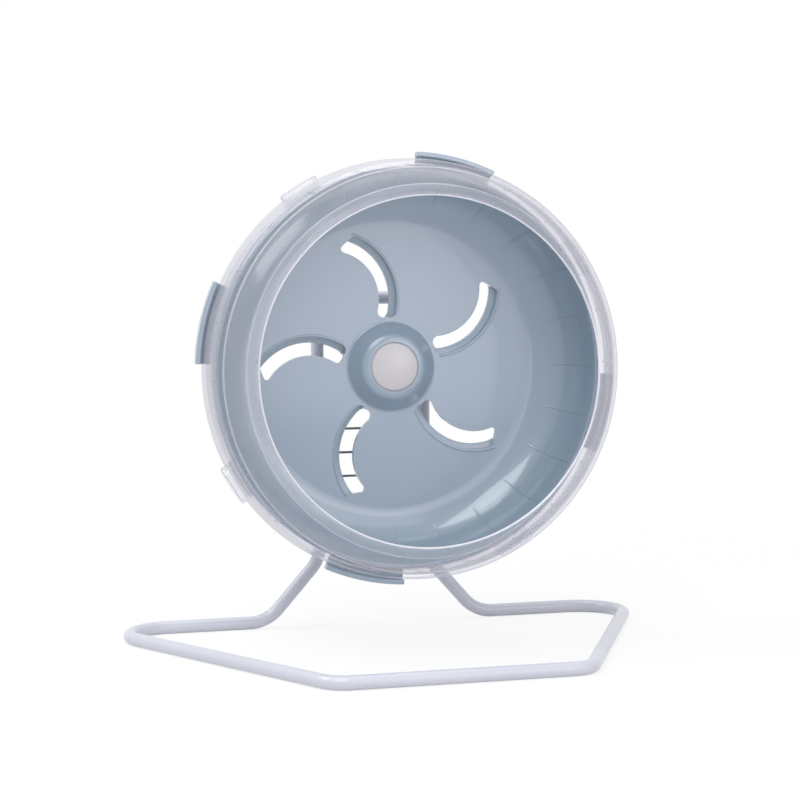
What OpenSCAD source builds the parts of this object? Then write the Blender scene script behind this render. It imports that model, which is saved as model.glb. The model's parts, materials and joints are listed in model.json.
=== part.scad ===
// Free-standing exercise wheel for a small rodent. A drum with a clear front ring turns on two ball
// bearings, on a bolt that a bent wire stand carries. Millimetres, +Z up, the open side faces -Y.
// The origin lies on the floor, under the middle of the stand.

/* [Stand] */
// Height of the wheel's axle above the floor
axle_height = 122.8; // [110:0.1:150]
// Diameter of the bent rod that the stand is made of
rod_d = 6; // [5:0.1:7]
// Depth of the base, from the outside of the front bar to the outside of the back bars
base_depth = 155; // [145:1:190]
// Width of the base along its back, where the rod's centre lines would meet
base_back_w = 259.6; // [220:0.1:300]
// Width of the base along its front, where the rod's centre lines would meet
base_front_w = 107.6; // [80:0.1:150]
// Distance between the feet of the two legs
feet_w = 101.8; // [90:0.1:130]
// Distance between the two uprights
uprights_w = 51.2; // [48:0.1:60]
// Height at which the sloping legs turn into the uprights
knee_height = 31.5; // [28:0.1:40]
// Height of the arch's top bar above the axle
arch_rise = 31; // [28:0.5:40]
// Bend radius of the two front corners, at the rod's centre
front_bend_r = 12; // [8:0.5:20]
// Bend radius of the two back corners, at the rod's centre
back_bend_r = 20; // [10:0.5:30]
// Bend radius where a leg leaves the floor
foot_bend_r = 18; // [10:0.5:22]
// Bend radius of the knees
knee_bend_r = 15; // [10:0.5:20]
// Bend radius of the arch's two corners
arch_bend_r = 13; // [8:0.5:18]
// Amount by which the rod's radius narrows where it is bent
bend_thinning = 0.03; // [0.02:0.01:0.06]

/* [Cross wires] */
// Diameter of the thin wires that tie the two uprights
wire_d = 1.2; // [1:0.1:2]
// Drop from the axle to the first wire
wire_drop = 30; // [25:0.5:35]
// Distance from one wire to the next
wire_pitch = 11.1; // [6:0.1:12]
// Number of wires
wire_count = 3; // [1:1:4]
// Length that a wire runs past the centre line of each upright
wire_reach = 2.4; // [1:0.1:3]

/* [Axle] */
// Diameter of the axle bolt
bolt_d = 8; // [7:0.1:8]
// Width of the bolt's head across its flats
bolt_head_af = 13; // [12:0.5:14]
// Height of the bolt's head
bolt_head_h = 5.3; // [4:0.1:5.8]
// Thickness of the flat strap that holds the bolt
strap_t = 3; // [2:0.5:4]
// Height of the strap
strap_h = 8; // [6:0.5:10]
// Drop from the axle to the middle of the strap
strap_drop = 5; // [0:0.5:6]
// Diameter of the round eye in the middle of the strap
strap_eye_d = 22; // [18:0.5:26]
// Wall thickness of the spacers on the bolt
spacer_wall = 2; // [1.5:0.1:2]
// Length of the spacer between the strap and the rear bearing
spacer_len = 8; // [4:0.5:16]
// Width of the lock nut across its flats
nut_af = 13; // [12:0.5:14]
// Height of the lock nut, with its insert
nut_h = 8; // [6.5:0.5:8]
// Height of the nylon insert in the lock nut
insert_h = 2; // [1.5:0.1:2.5]
// Wall thickness of the insert
insert_wall = 1.2; // [0.8:0.1:1.3]
// Diameter of the washer under the nut
washer_d = 16; // [14:0.5:17]
// Thickness of that washer
washer_t = 1.6; // [1:0.1:2]
// Length of the bolt that shows past the nut
bolt_end = 0.8; // [0.4:0.1:0.8]

/* [Bearings] */
// Outer diameter of a bearing
bearing_d = 22; // [21.6:0.1:23]
// Width of a bearing
bearing_w = 7; // [6.8:0.1:7.5]
// Distance between the two bearings
bearing_gap = 5; // [3:0.5:8]
// Distance from the face of the disc back to the front bearing
bearing_set_back = 3.9; // [3.5:0.1:5]
// Diameter of a ball
ball_d = 3.969; // [3.8:0.001:4]
// Number of balls in a bearing
ball_count = 7; // [5:1:7]
// Thickness of the inner race at its lands
inner_race_t = 2.05; // [2.05:0.01:2.1]
// Thickness of the outer race at its lands
outer_race_t = 1.95; // [1.8:0.01:2]
// Thickness of a bearing's shield
shield_t = 0.35; // [0.3:0.01:0.4]
// Distance from the bearing's face to its shield
shield_inset = 0.3; // [0.3:0.01:0.4]
// Depth of the step in the outer race that holds a shield
shield_step = 0.5; // [0.3:0.1:0.7]
// Wall of the cage beside a ball
cage_wall = 0.4; // [0.3:0.05:0.45]

/* [Drum] */
// Radius of the drum's outside
drum_r = 87.6; // [84:0.1:92]
// Depth of the drum, from the face of its disc to its rim
drum_depth = 33.5; // [30:0.5:40]
// Thickness of the disc
plate_t = 2.5; // [2:0.1:3]
// Thickness of the drum's wall
wall_t = 2; // [1.6:0.1:2.4]
// Radius of the round corner between the disc and the wall, inside
drum_fillet = 22; // [12:0.5:24]
// Radius of the hub boss where it leaves the disc
boss_base_r = 20.1; // [18:0.1:21]
// Width of the flat ring at the front of the boss
boss_land = 2.6; // [1.5:0.1:4]
// Height of the boss over the disc
boss_h = 7; // [6:0.1:8]
// Wall of the bearing sleeve behind the disc
sleeve_wall = 4; // [2:0.1:5]
// Length that the sleeve runs past the rear bearing
sleeve_lip = 0.5; // [0.2:0.1:1.5]
// Height of the shoulder between the seats of the two bearings
seat_shoulder = 1.7; // [1:0.1:1.9]
// Thickness of the gussets that brace the sleeve
gusset_t = 2; // [1.5:0.1:3]
// Length that a gusset runs out along the disc
gusset_run = 5.5; // [3:0.5:6]

/* [Hub cap] */
// Width of the gap that shows between the cap and its seat
cap_reveal = 0.3; // [0.2:0.1:0.6]
// Height of the cap's edge over the front of the boss
cap_edge_h = 0.7; // [0.4:0.1:1.2]
// Height of the dome over the cap's edge
cap_dome_h = 1.4; // [1:0.1:3]
// Wall thickness of the cap
cap_t = 1.1; // [0.8:0.1:1.2]
// Length of the cap's skirt inside the boss
cap_skirt = 5; // [3:0.5:6]

/* [Slots] */
// Number of curved slots in the disc
slot_count = 5; // [3:1:5]
// Distance from the axle to the centre of a slot's curve
slot_centre_r = 40.6; // [40:0.1:43]
// Direction of the centre of the first slot's curve
slot_centre_angle = 131.4; // [0:0.1:360]
// Radius of the inner curve of a slot
slot_inner_r = 21.6; // [20.5:0.1:23.5]
// Width of a slot
slot_w = 5.7; // [4:0.1:6]
// Distance from the axle to the straight edge that ends a slot
slot_reach = 55.2; // [52:0.1:57]
// Width of the sunk ledge along the outer curve of a slot
band_w = 2.7; // [1:0.1:3]
// Depth of the ledge under the face of the disc, at its step
band_step = 3; // [2:0.1:3.5]
// Depth that the ledge falls from its step to the slot
band_fall = 0.6; // [0.3:0.1:1]
// Thickness of the ledge, and of the wall round it
band_t = 1.3; // [1:0.1:1.6]
// Width of the raised bead along the ledge
bead_w = 1; // [0.6:0.1:1.4]
// Height of that bead
bead_h = 0.35; // [0.2:0.05:0.6]

/* [Clear front ring] */
// Diameter of the opening that the animal goes in by
opening_d = 147; // [120:0.5:155]
// Wall thickness of the ring
ring_t = 2; // [1.6:0.1:2.4]
// Thickness of the skirt that sits outside the drum's rim
skirt_t = 3.4; // [3:0.1:4]
// Length of that skirt
skirt_len = 1.9; // [1.5:0.1:3]
// Thickness of the ledge that the drum's rim butts against
ledge_t = 1.5; // [1:0.1:2]
// Height that the ledge covers of the drum's rim
ledge_h = 1.6; // [1:0.1:1.6]
// Length of the side wall ahead of the drum's rim
side_len = 16.5; // [12:0.5:22]
// Amount by which the side wall narrows to the front
side_taper = 1.8; // [0:0.1:3]
// Outer radius of the corner between the side wall and the shoulder
ring_corner_r = 3.2; // [2.2:0.1:4]
// Length of the shoulder along the axle
shoulder_len = 20; // [14:0.5:26]
// Amount by which the shoulder bulges from a straight line
shoulder_bulge = 1.6; // [0.4:0.1:2]

/* [Ribs] */
// Number of grip ribs round the running surface
rib_count = 24; // [8:1:36]
// Width of a grip rib
rib_w = 1.2; // [0.8:0.1:2]
// Height of a grip rib
rib_h = 0.8; // [0.4:0.1:1.2]

/* [Tabs and clips] */
// Number of hook tabs on the drum, and of clips on the ring
latch_count = 4; // [3:1:6]
// Direction of the first hook tab
tab_angle = 76.7; // [0:0.1:360]
// Length of a hook tab, as an angle about the axle
tab_span = 22; // [16:0.5:26]
// Gap between the ring and the strip of a hook tab
tab_gap = 0.7; // [0.5:0.1:1.2]
// Thickness of the strip of a hook tab
tab_t = 2.2; // [1.6:0.1:2.4]
// Length of a hook tab along the axle
tab_len = 5; // [4.5:0.1:8]
// Thickness of the flange that carries a hook tab
tab_flange_t = 2; // [1.6:0.1:2.6]
// Angle from a hook tab to the next clip
clip_offset = 45; // [35:0.5:55]
// Length of a clip round the ring
clip_w = 17.6; // [14:0.1:22]
// Length of a clip along the axle
clip_len = 9.5; // [9:0.1:11]
// Height of a clip over the ring's back edge
clip_rise = 1.9; // [1.5:0.1:3]
// Length of a clip that lies on the ring
clip_overlap = 4.5; // [3:0.5:5]
// Thickness of the tongue and nose of a clip
clip_t = 1.6; // [1.2:0.1:1.8]
// Depth of the shallow panel in the outer face of a clip
panel_depth = 0.5; // [0.2:0.1:0.8]
// Width of the frame that is left round that panel
panel_frame = 1.3; // [0.8:0.1:2]
// Height of the catch on the drum that a clip snaps over
catch_h = 1.4; // [0.8:0.1:1.6]
// Length of that catch along the axle
catch_len = 2; // [1.5:0.1:2.2]

/* [Clearances] */
// Radial clearance of a piece that slides over the bolt
bolt_fit = 0.03; // [0.02:0.01:0.1]
// Radial clearance of a bearing in its seat
seat_fit = 0.01; // [0.01:0.01:0.05]
// Clearance of the balls in their tracks
ball_fit = 0.06; // [0.04:0.01:0.1]
// Clearance of the balls in the pockets of their cage
pocket_fit = 0.12; // [0.1:0.01:0.2]
// Clearance of a turning face beside a fixed one
running_gap = 0.35; // [0.3:0.01:0.5]
// Clearance between the drum's rim and the skirt round it
rim_fit = 0.4; // [0.2:0.1:0.6]
// Clearance between a latch and what it hooks
latch_gap = 0.2; // [0.1:0.05:0.5]
// Clearance of the cap's skirt in the boss
cap_fit = 0.05; // [0.02:0.01:0.1]

/* [Hidden] */

// Facets of a full circle
$fn = 96;
// Length that every cut runs past the solid that it cuts
over = 1;
// Angle that a bend of the rod runs on inside the straight rod at its two ends
bend_overlap = 1;
// Steps in a drawn arc of an outline
arc_steps = 8;
// Share of the sleeve's length that a gusset climbs
gusset_rise_share = 0.8;
// Angle round the drum's inner corner at which the grip ribs start
rib_start_angle = 28;
// Direction of the inner end of a slot, seen from the centre of its curve
slot_start_angle = -13;
// Direction in which every slot has already met the edge that ends it
slot_stop_angle = 100;
// Share of a hexagon's width across flats at which its chamfer starts
chamfer_share = 0.5;
// Share of a hexagon's width across flats that the chamfer takes off its height
chamfer_drop_share = 0.045;

// Radii that follow from the driving dimensions
rod_r = rod_d / 2;
bolt_r = bolt_d / 2;
bore_r = bolt_r + bolt_fit;
ball_r = ball_d / 2;
bearing_r = bearing_d / 2;
seat_r = bearing_r + seat_fit;
pitch_r = (bearing_r + bolt_r) / 2;
inner_land_r = bolt_r + inner_race_t;
outer_land_r = bearing_r - outer_race_t;
spacer_r = bolt_r + spacer_wall;
sleeve_r = seat_r + sleeve_wall;
boss_top_r = seat_r + boss_land;
cap_r = seat_r - cap_reveal;
flat_r = drum_r - wall_t - drum_fillet;
slot_outer_r = slot_inner_r + slot_w;
band_end_r = slot_outer_r + band_w;
band_back = -band_step - band_fall - band_t;
ring_back_r = drum_r + rim_fit + skirt_t;
ring_front_r = ring_back_r - side_taper;
tab_inner_r = ring_back_r + tab_gap;
tab_r = tab_inner_r + tab_t;
clip_r = ring_back_r + clip_rise;

// Places along the axle, counted forward from the face of the disc
front_bearing_front = -bearing_set_back;
front_bearing_back = front_bearing_front - bearing_w;
rear_bearing_front = front_bearing_back - bearing_gap;
rear_bearing_back = rear_bearing_front - bearing_w;
sleeve_back = rear_bearing_back - sleeve_lip;
spacer_back = rear_bearing_back - spacer_len;
strap_back = spacer_back - strap_t;
stand_plane = strap_back - rod_r;
nut_back = front_bearing_front + washer_t;
nut_front = nut_back + nut_h;
cap_edge = boss_h + cap_edge_h;
cap_front = cap_edge + cap_dome_h;
ring_back = drum_depth - skirt_len;
side_end = drum_depth + side_len;
ring_front = side_end + shoulder_len;
flange_front = ring_back - latch_gap;
clip_back = ring_back + clip_overlap - clip_len;

// Places in the stand's own axes
rear_y = base_depth / 2 - rod_r;
disc_y = rear_y + stand_plane;
arch_z = axle_height + arch_rise;

// Corners of the bent rod and their bend radii, once round the stand
STAND = [
    [[-base_front_w / 2, -rear_y, rod_r], front_bend_r],
    [[base_front_w / 2, -rear_y, rod_r], front_bend_r],
    [[base_back_w / 2, rear_y, rod_r], back_bend_r],
    [[feet_w / 2, rear_y, rod_r], foot_bend_r],
    [[uprights_w / 2, rear_y, knee_height], knee_bend_r],
    [[uprights_w / 2, rear_y, arch_z], arch_bend_r],
    [[-uprights_w / 2, rear_y, arch_z], arch_bend_r],
    [[-uprights_w / 2, rear_y, knee_height], knee_bend_r],
    [[-feet_w / 2, rear_y, rod_r], foot_bend_r],
    [[-base_back_w / 2, rear_y, rod_r], back_bend_r]
];

// Vectors and outlines

function unit(v) = v / norm(v);

function arc(centre, r, from, to) =
    [for (i = [0:arc_steps]) centre + r * [cos(from + (to - from) * i / arc_steps),
        sin(from + (to - from) * i / arc_steps)]];

// Points of the shallow curve that joins two points and bulges by a given height to its right
function bow(from, to, height) =
    let (along = to - from, side = [along.y, -along.x] / norm(along))
    [for (i = [0:arc_steps]) let (s = i / arc_steps)
        from + along * s + side * height * sin(180 * s)];

// Direction square to an outline at one of its points
function outline_normal(points, i) =
    let (last = len(points) - 1, along = unit(points[min(i + 1, last)] - points[max(i - 1, 0)]))
    [along.y, -along.x];

// An outline moved sideways by a distance
function shifted(points, distance) =
    [for (i = [0:len(points) - 1]) points[i] + distance * outline_normal(points, i)];

function reversed(points) = [for (i = [len(points) - 1:-1:0]) points[i]];

// Stand a piece that is drawn along the axle on its place over the floor
module on_axle() {
    translate([0, disc_y, axle_height]) rotate([90, 0, 0]) children();
}

// Turn a piece into a frame with a given origin and three unit axes
module placed(origin, u, v, w) {
    multmatrix([
        [u.x, v.x, w.x, origin.x],
        [u.y, v.y, w.y, origin.y],
        [u.z, v.z, w.z, origin.z],
        [0, 0, 0, 1]
    ]) children();
}

// A round tube along the axle, from one place to another
module sleeve(outer, inner, from, to) {
    translate([0, 0, from]) difference() {
        cylinder(r = outer, h = to - from);
        translate([0, 0, -over]) cylinder(r = inner, h = to - from + 2 * over);
    }
}

// A disc or rod along the axle, from one place to another
module round_bar(r, from, to) {
    translate([0, 0, from]) cylinder(r = r, h = to - from);
}

// A piece of a ring about the local axis, centred on a direction
module ring_piece(r_in, r_out, from, to, direction, span) {
    rotate([0, 0, direction - span / 2]) rotate_extrude(angle = span)
        translate([r_in, from]) square([r_out - r_in, to - from]);
}

// A hexagon whose outer corners are turned off at one end
module hexagon(af, from, to, chamfer_at_front) {
    drop = af * chamfer_drop_share;
    far_r = af / sqrt(3);
    near_r = af * chamfer_share;
    intersection() {
        translate([0, 0, from]) cylinder(r = far_r, h = to - from, $fn = 6);
        rotate_extrude() polygon(chamfer_at_front
            ? [[0, from], [far_r, from], [far_r, to - drop], [near_r, to], [0, to]]
            : [[0, from], [near_r, from], [far_r, from + drop], [far_r, to], [0, to]]);
    }
}

// Stand

// Distance from a corner to where its bend meets the straight rod
function bend_run(before, corner, after, r) =
    let (a = unit(before - corner), b = unit(after - corner)) r / tan(acos(a * b) / 2);

module rod_bend(before, corner, after, r) {
    a = unit(before - corner);
    b = unit(after - corner);
    half_angle = acos(a * b) / 2;
    run = r / tan(half_angle);
    centre = corner + unit(a + b) * r / sin(half_angle);
    u = unit(corner + a * run - centre);
    w = unit(cross(u, corner + b * run - centre));
    placed(centre, u, cross(w, u), w) rotate([0, 0, -bend_overlap])
        rotate_extrude(angle = 180 - 2 * half_angle + 2 * bend_overlap)
            translate([r, 0]) circle(r = rod_r - bend_thinning);
}

module rod_run(from, to) {
    w = unit(to - from);
    upright = abs(w.z) > abs(w.x) + abs(w.y);
    u = unit(cross(w, upright ? [0, 1, 0] : [0, 0, 1]));
    placed(from, u, cross(w, u), w) cylinder(r = rod_r, h = norm(to - from));
}

module stand_frame() {
    count = len(STAND);
    color([0.92, 0.92, 0.96]) for (i = [0:count - 1]) {
        before = STAND[(i + count - 1) % count];
        here = STAND[i];
        after = STAND[(i + 1) % count];
        beyond = STAND[(i + 2) % count];
        rod_bend(before[0], here[0], after[0], here[1]);
        along = unit(after[0] - here[0]);
        rod_run(
            here[0] + along * bend_run(before[0], here[0], after[0], here[1]),
            after[0] - along * bend_run(here[0], after[0], beyond[0], after[1])
        );
    }
}

module cross_wires() {
    color([0.62, 0.62, 0.68]) for (i = [0:wire_count - 1])
        translate([0, rear_y - rod_r - wire_d / 2, axle_height - wire_drop - i * wire_pitch])
            rotate([0, 90, 0])
                cylinder(d = wire_d, h = uprights_w + 2 * wire_reach, center = true);
}

module axle_strap() {
    color([0.9, 0.9, 0.94]) on_axle() difference() {
        union() {
            translate([-uprights_w / 2 - rod_r, -strap_drop - strap_h / 2, strap_back])
                cube([uprights_w + rod_d, strap_h, strap_t]);
            round_bar(strap_eye_d / 2, strap_back, spacer_back);
        }
        round_bar(bore_r, strap_back - over, spacer_back + over);
    }
}

// Axle

module axle_bolt() {
    color([0.72, 0.73, 0.75]) on_axle() {
        hexagon(bolt_head_af, strap_back - bolt_head_h, strap_back, false);
        round_bar(bolt_r, strap_back - bolt_head_h / 2, nut_front + bolt_end);
    }
}

module axle_spacer() {
    color([0.8, 0.8, 0.82]) on_axle() sleeve(spacer_r, bore_r, spacer_back, rear_bearing_back);
}

module race_spacer() {
    color([0.8, 0.8, 0.82]) on_axle()
        sleeve(spacer_r, bore_r, rear_bearing_front, front_bearing_back);
}

module nut_washer() {
    color([0.74, 0.75, 0.77]) on_axle() sleeve(washer_d / 2, bore_r, front_bearing_front, nut_back);
}

module lock_nut() {
    insert_r = bore_r + insert_wall;
    color([0.74, 0.75, 0.77]) on_axle() difference() {
        union() {
            hexagon(nut_af, nut_back, nut_front - insert_h, true);
            round_bar(nut_af / 2 * cos(30), nut_back, nut_front);
        }
        round_bar(bore_r, nut_back - over, nut_front + over);
        round_bar(insert_r, nut_front - insert_h, nut_front + over);
    }
}

module lock_nut_insert() {
    color([0.25, 0.4, 0.75]) on_axle()
        sleeve(bore_r + insert_wall, bore_r, nut_front - insert_h, nut_front);
}

// Bearings, each drawn forward from its back face

module ball_track(from) {
    rotate_extrude() translate([pitch_r, from + bearing_w / 2]) circle(r = ball_r + ball_fit);
}

module inner_race(from) {
    color([0.78, 0.79, 0.81]) on_axle() difference() {
        sleeve(inner_land_r, bore_r, from, from + bearing_w);
        ball_track(from);
    }
}

module outer_race(from) {
    step = shield_inset + shield_t;
    color([0.78, 0.79, 0.81]) on_axle() difference() {
        sleeve(bearing_r, outer_land_r, from, from + bearing_w);
        ball_track(from);
        round_bar(outer_land_r + shield_step, from - over, from + step);
        round_bar(outer_land_r + shield_step, from + bearing_w - step, from + bearing_w + over);
    }
}

module shields(from) {
    color([0.66, 0.67, 0.7]) on_axle()
        for (place = [from + shield_inset, from + bearing_w - shield_inset - shield_t])
            sleeve(outer_land_r + shield_step, inner_land_r + running_gap, place, place + shield_t);
}

module each_ball(from) {
    for (i = [0:ball_count - 1]) rotate([0, 0, (360 * i + 180) / ball_count])
        translate([pitch_r, 0, from + bearing_w / 2]) children();
}

module balls(from) {
    color([0.86, 0.87, 0.88]) on_axle() each_ball(from) sphere(r = ball_r);
}

module cage(from) {
    half_w = ball_r + pocket_fit + cage_wall;
    middle = from + bearing_w / 2;
    color([0.7, 0.6, 0.4]) on_axle() difference() {
        sleeve(outer_land_r - running_gap, inner_land_r + running_gap, middle - half_w,
            middle + half_w);
        each_ball(from) rotate([0, 90, 0])
            cylinder(r = ball_r + pocket_fit, h = ball_d, center = true);
    }
}

module front_inner_race() { inner_race(front_bearing_back); }
module rear_inner_race() { inner_race(rear_bearing_back); }
module front_outer_race() { outer_race(front_bearing_back); }
module rear_outer_race() { outer_race(rear_bearing_back); }
module front_shields() { shields(front_bearing_back); }
module rear_shields() { shields(rear_bearing_back); }
module front_balls() { balls(front_bearing_back); }
module rear_balls() { balls(rear_bearing_back); }
module front_cage() { cage(front_bearing_back); }
module rear_cage() { cage(rear_bearing_back); }

// Drum

// Half outline of a cup with a round corner, open to the front
module cup_outline(r, bottom, corner, top) {
    translate([0, bottom]) square([r - corner, top - bottom]);
    translate([0, bottom + corner]) square([r, top - bottom - corner]);
    intersection() {
        translate([r - corner, bottom + corner]) circle(r = corner);
        translate([r - corner, bottom - over]) square([corner + over, corner + over]);
    }
}

module drum_shell() {
    rotate_extrude() difference() {
        cup_outline(drum_r, -plate_t, drum_fillet + wall_t, drum_depth);
        cup_outline(drum_r - wall_t, 0, drum_fillet, drum_depth + over);
    }
}

// Grip ribs, cut from a thin layer that lies on the inside of the drum
module drum_ribs() {
    start_r = flat_r + drum_fillet * sin(rib_start_angle);
    sink = wall_t / 2;
    intersection() {
        rotate_extrude() difference() {
            cup_outline(drum_r - sink, -sink, drum_fillet + sink, drum_depth);
            cup_outline(drum_r - wall_t - rib_h, rib_h, drum_fillet - rib_h, drum_depth + over);
        }
        for (i = [0:rib_count - 1]) rotate([0, 0, 360 * i / rib_count])
            translate([start_r, -rib_w / 2, 0]) cube([drum_r - start_r, rib_w, drum_depth]);
    }
}

module boss() {
    translate([0, 0, -plate_t / 2])
        cylinder(r = boss_base_r, h = plate_t / 2);
    cylinder(r1 = boss_base_r, r2 = boss_top_r, h = boss_h);
    round_bar(sleeve_r, sleeve_back, -plate_t / 2);
    for (i = [0:slot_count - 1]) rotate([0, 0, 360 * i / slot_count]) gusset();
}

module gusset() {
    sink = sleeve_wall / 2;
    rise = (-plate_t - sleeve_back) * gusset_rise_share;
    rotate([90, 0, 0]) linear_extrude(height = gusset_t, center = true) polygon([
        [sleeve_r - sink, -plate_t / 2],
        [sleeve_r + gusset_run, -plate_t / 2],
        [sleeve_r + gusset_run, -plate_t],
        [sleeve_r, -plate_t - rise],
        [sleeve_r - sink, -plate_t - rise]
    ]);
}

module bearing_seats() {
    round_bar(seat_r, front_bearing_back, boss_h + over);
    round_bar(seat_r - seat_shoulder, sleeve_back - over, boss_h + over);
    round_bar(seat_r, sleeve_back - over, rear_bearing_front);
}

// Place a piece at the centre of each slot's curve, cut off along a straight edge
module each_slot(reach) {
    for (i = [0:slot_count - 1]) rotate([0, 0, slot_centre_angle + 360 * i / slot_count])
        intersection() {
            translate([slot_centre_r, 0, 0]) rotate([0, 0, -slot_centre_angle]) children();
            translate([-drum_r, -drum_r, band_back - over])
                cube([drum_r + reach, 2 * drum_r, boss_h - band_back]);
        }
}

// A curved channel about the centre of a slot, with a round inner end
module slot_channel(r_in, r_out, from, to) {
    middle = (slot_start_angle + slot_stop_angle) / 2;
    ring_piece(r_in, r_out, from, to, middle, slot_stop_angle - slot_start_angle);
    rotate([0, 0, slot_start_angle]) translate([(r_in + r_out) / 2, 0, 0])
        round_bar((r_out - r_in) / 2, from, to);
}

// Wall behind the disc that carries the sunk ledge and closes its step
module slot_backs() {
    each_slot(slot_reach + band_t)
        slot_channel(slot_outer_r - band_t, band_end_r + band_t, band_back, -plate_t / 2);
}

// Hollow over the ledge, which slopes from its step down to the slot
module slot_band() {
    rotate([0, 0, slot_start_angle]) {
        rotate_extrude(angle = slot_stop_angle - slot_start_angle) polygon([
            [slot_outer_r - slot_w / 2, -band_step - band_fall],
            [slot_outer_r, -band_step - band_fall],
            [band_end_r, -band_step],
            [band_end_r, over],
            [slot_outer_r - slot_w / 2, over]
        ]);
        translate([slot_outer_r + band_w / 2, 0, 0]) round_bar(band_w / 2, -band_step, over);
    }
}

module slots() {
    each_slot(slot_reach) {
        slot_channel(slot_inner_r, slot_outer_r, band_back - over, over);
        slot_band();
    }
}

module slot_beads() {
    each_slot(slot_reach + bead_w)
        slot_channel(band_end_r, band_end_r + bead_w, -plate_t / 2, bead_h);
}

module hook_tabs() {
    flange_back = flange_front - tab_flange_t;
    for (i = [0:latch_count - 1]) {
        direction = tab_angle + 360 * i / latch_count;
        ring_piece(drum_r - wall_t / 2, tab_r, flange_back, flange_front, direction, tab_span);
        ring_piece(tab_inner_r, tab_r, flange_back, flange_back + tab_len, direction, tab_span);
    }
}

module catches() {
    span = clip_w / drum_r * 180 / PI;
    catch_back = clip_back + clip_t + latch_gap;
    for (i = [0:latch_count - 1])
        ring_piece(drum_r - wall_t / 2, drum_r + catch_h, catch_back, catch_back + catch_len,
            tab_angle - clip_offset + 360 * i / latch_count, span);
}

module drum() {
    color([0.63, 0.67, 0.74]) on_axle() difference() {
        union() {
            drum_shell();
            boss();
            slot_beads();
            slot_backs();
            hook_tabs();
            catches();
            drum_ribs();
        }
        slots();
        bearing_seats();
    }
}

// Clear front ring

// Middle line of the ring's wall, from its back edge to the edge of the opening. It turns in at a
// round corner, and the shoulder then sets off forward from a crease.
function ring_line() =
    let (
        half = ring_t / 2,
        bend_r = ring_corner_r - half,
        corner = [ring_front_r - ring_corner_r, side_end],
        crease = corner + [0, bend_r],
        lip = [opening_d / 2 + half, ring_front - half]
    )
    concat(
        [[ring_back_r - half, ring_back]],
        arc(corner, bend_r, 0, 90),
        [for (i = [1:arc_steps]) bow(crease, lip, shoulder_bulge)[i]]
    );

module ring_wall() {
    line = ring_line();
    polygon(concat(shifted(line, ring_t / 2), reversed(shifted(line, -ring_t / 2))));
    translate(line[len(line) - 1]) circle(r = ring_t / 2);
}

// Skirt and ledge that seat the ring on the drum's rim
module ring_seat() {
    inner = ring_back_r - skirt_t;
    mid = ring_back_r - ring_t / 2 - side_taper / 2;
    translate([inner, ring_back]) square([mid - inner, skirt_len]);
    translate([drum_r - ledge_h, drum_depth]) square([mid - drum_r + ledge_h, ledge_t]);
}

module ring_ribs() {
    line = [ring_line()[0], ring_line()[1]];
    intersection() {
        rotate_extrude() polygon(concat(line, reversed(shifted(line, -ring_t / 2 - rib_h))));
        for (i = [0:rib_count - 1]) rotate([0, 0, 360 * i / rib_count])
            translate([opening_d / 2, -rib_w / 2, drum_depth])
                cube([ring_back_r - opening_d / 2, rib_w, side_len]);
    }
}

// Outline of a clip seen from outside, with round ends
module clip_outline(inset) {
    r = clip_len / 2 - inset;
    run = clip_w / 2 - inset - r;
    translate([-r, -run]) square([2 * r, 2 * run]);
    for (side = [-1, 1]) translate([0, side * run]) circle(r = r);
}

// Block through the ring's wall with the outline of a clip, standing out along one direction
module clip_prism(inset, from, to) {
    translate([from, 0, clip_back + clip_len / 2]) rotate([0, 90, 0])
        linear_extrude(height = to - from) clip_outline(inset);
}

module clips() {
    tongue_r = clip_r - clip_t;
    wall_r = ring_back_r - ring_t / 2 - side_taper / 2;
    nose_r = drum_r + rim_fit;
    for (i = [0:latch_count - 1])
        rotate([0, 0, tab_angle - clip_offset + 360 * i / latch_count]) difference() {
            intersection() {
                clip_prism(0, drum_r - wall_t, clip_r + over);
                rotate_extrude() {
                    translate([tongue_r, clip_back]) square([clip_t, clip_len]);
                    translate([nose_r, clip_back]) square([clip_r - nose_r, clip_t]);
                    translate([wall_r, ring_back]) square([clip_r - wall_r, clip_overlap]);
                }
            }
            intersection() {
                clip_prism(panel_frame, clip_r - clip_t, clip_r + over);
                sleeve(clip_r + over, clip_r - panel_depth, clip_back, clip_back + clip_len);
            }
        }
}

module clear_ring() {
    color([0.9, 0.91, 0.94, 0.4]) on_axle() {
        rotate_extrude() {
            ring_wall();
            ring_seat();
        }
        ring_ribs();
        clips();
    }
}

// Hub cap

module hub_cap() {
    skirt_r = seat_r - cap_fit;
    skirt_back = boss_h - cap_skirt;
    dome_r = (cap_r * cap_r + cap_dome_h * cap_dome_h) / (2 * cap_dome_h);
    color([0.85, 0.83, 0.83]) on_axle() difference() {
        union() {
            intersection() {
                round_bar(cap_r, skirt_back, cap_front);
                translate([0, 0, cap_front - dome_r]) sphere(r = dome_r, $fn = 200);
            }
            round_bar(skirt_r, skirt_back, boss_h - cap_reveal);
        }
        intersection() {
            round_bar(cap_r - cap_t, skirt_back - over, cap_front);
            translate([0, 0, cap_front - dome_r]) sphere(r = dome_r - cap_t, $fn = 200);
        }
    }
}

stand_frame();
cross_wires();
axle_strap();
axle_bolt();
axle_spacer();
race_spacer();
nut_washer();
lock_nut();
lock_nut_insert();
front_inner_race();
rear_inner_race();
front_outer_race();
rear_outer_race();
front_shields();
rear_shields();
front_balls();
rear_balls();
front_cage();
rear_cage();
drum();
clear_ring();
hub_cap();
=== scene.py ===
"""A free-standing exercise wheel for a small rodent: a blue-grey drum with five curved slots, a
clear ring clipped round its open side, a light grey hub cap and a bent wire stand.

Lengths are in metres and angles in degrees. Most pieces are drawn in the wheel's own axes, with z
counted forward from the face of the disc and directions counted anticlockwise seen from the front.
"""

import json
import logging
import math
from contextlib import contextmanager
from dataclasses import dataclass
from enum import Enum
from typing import Callable, Iterable, Iterator, Sequence

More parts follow.
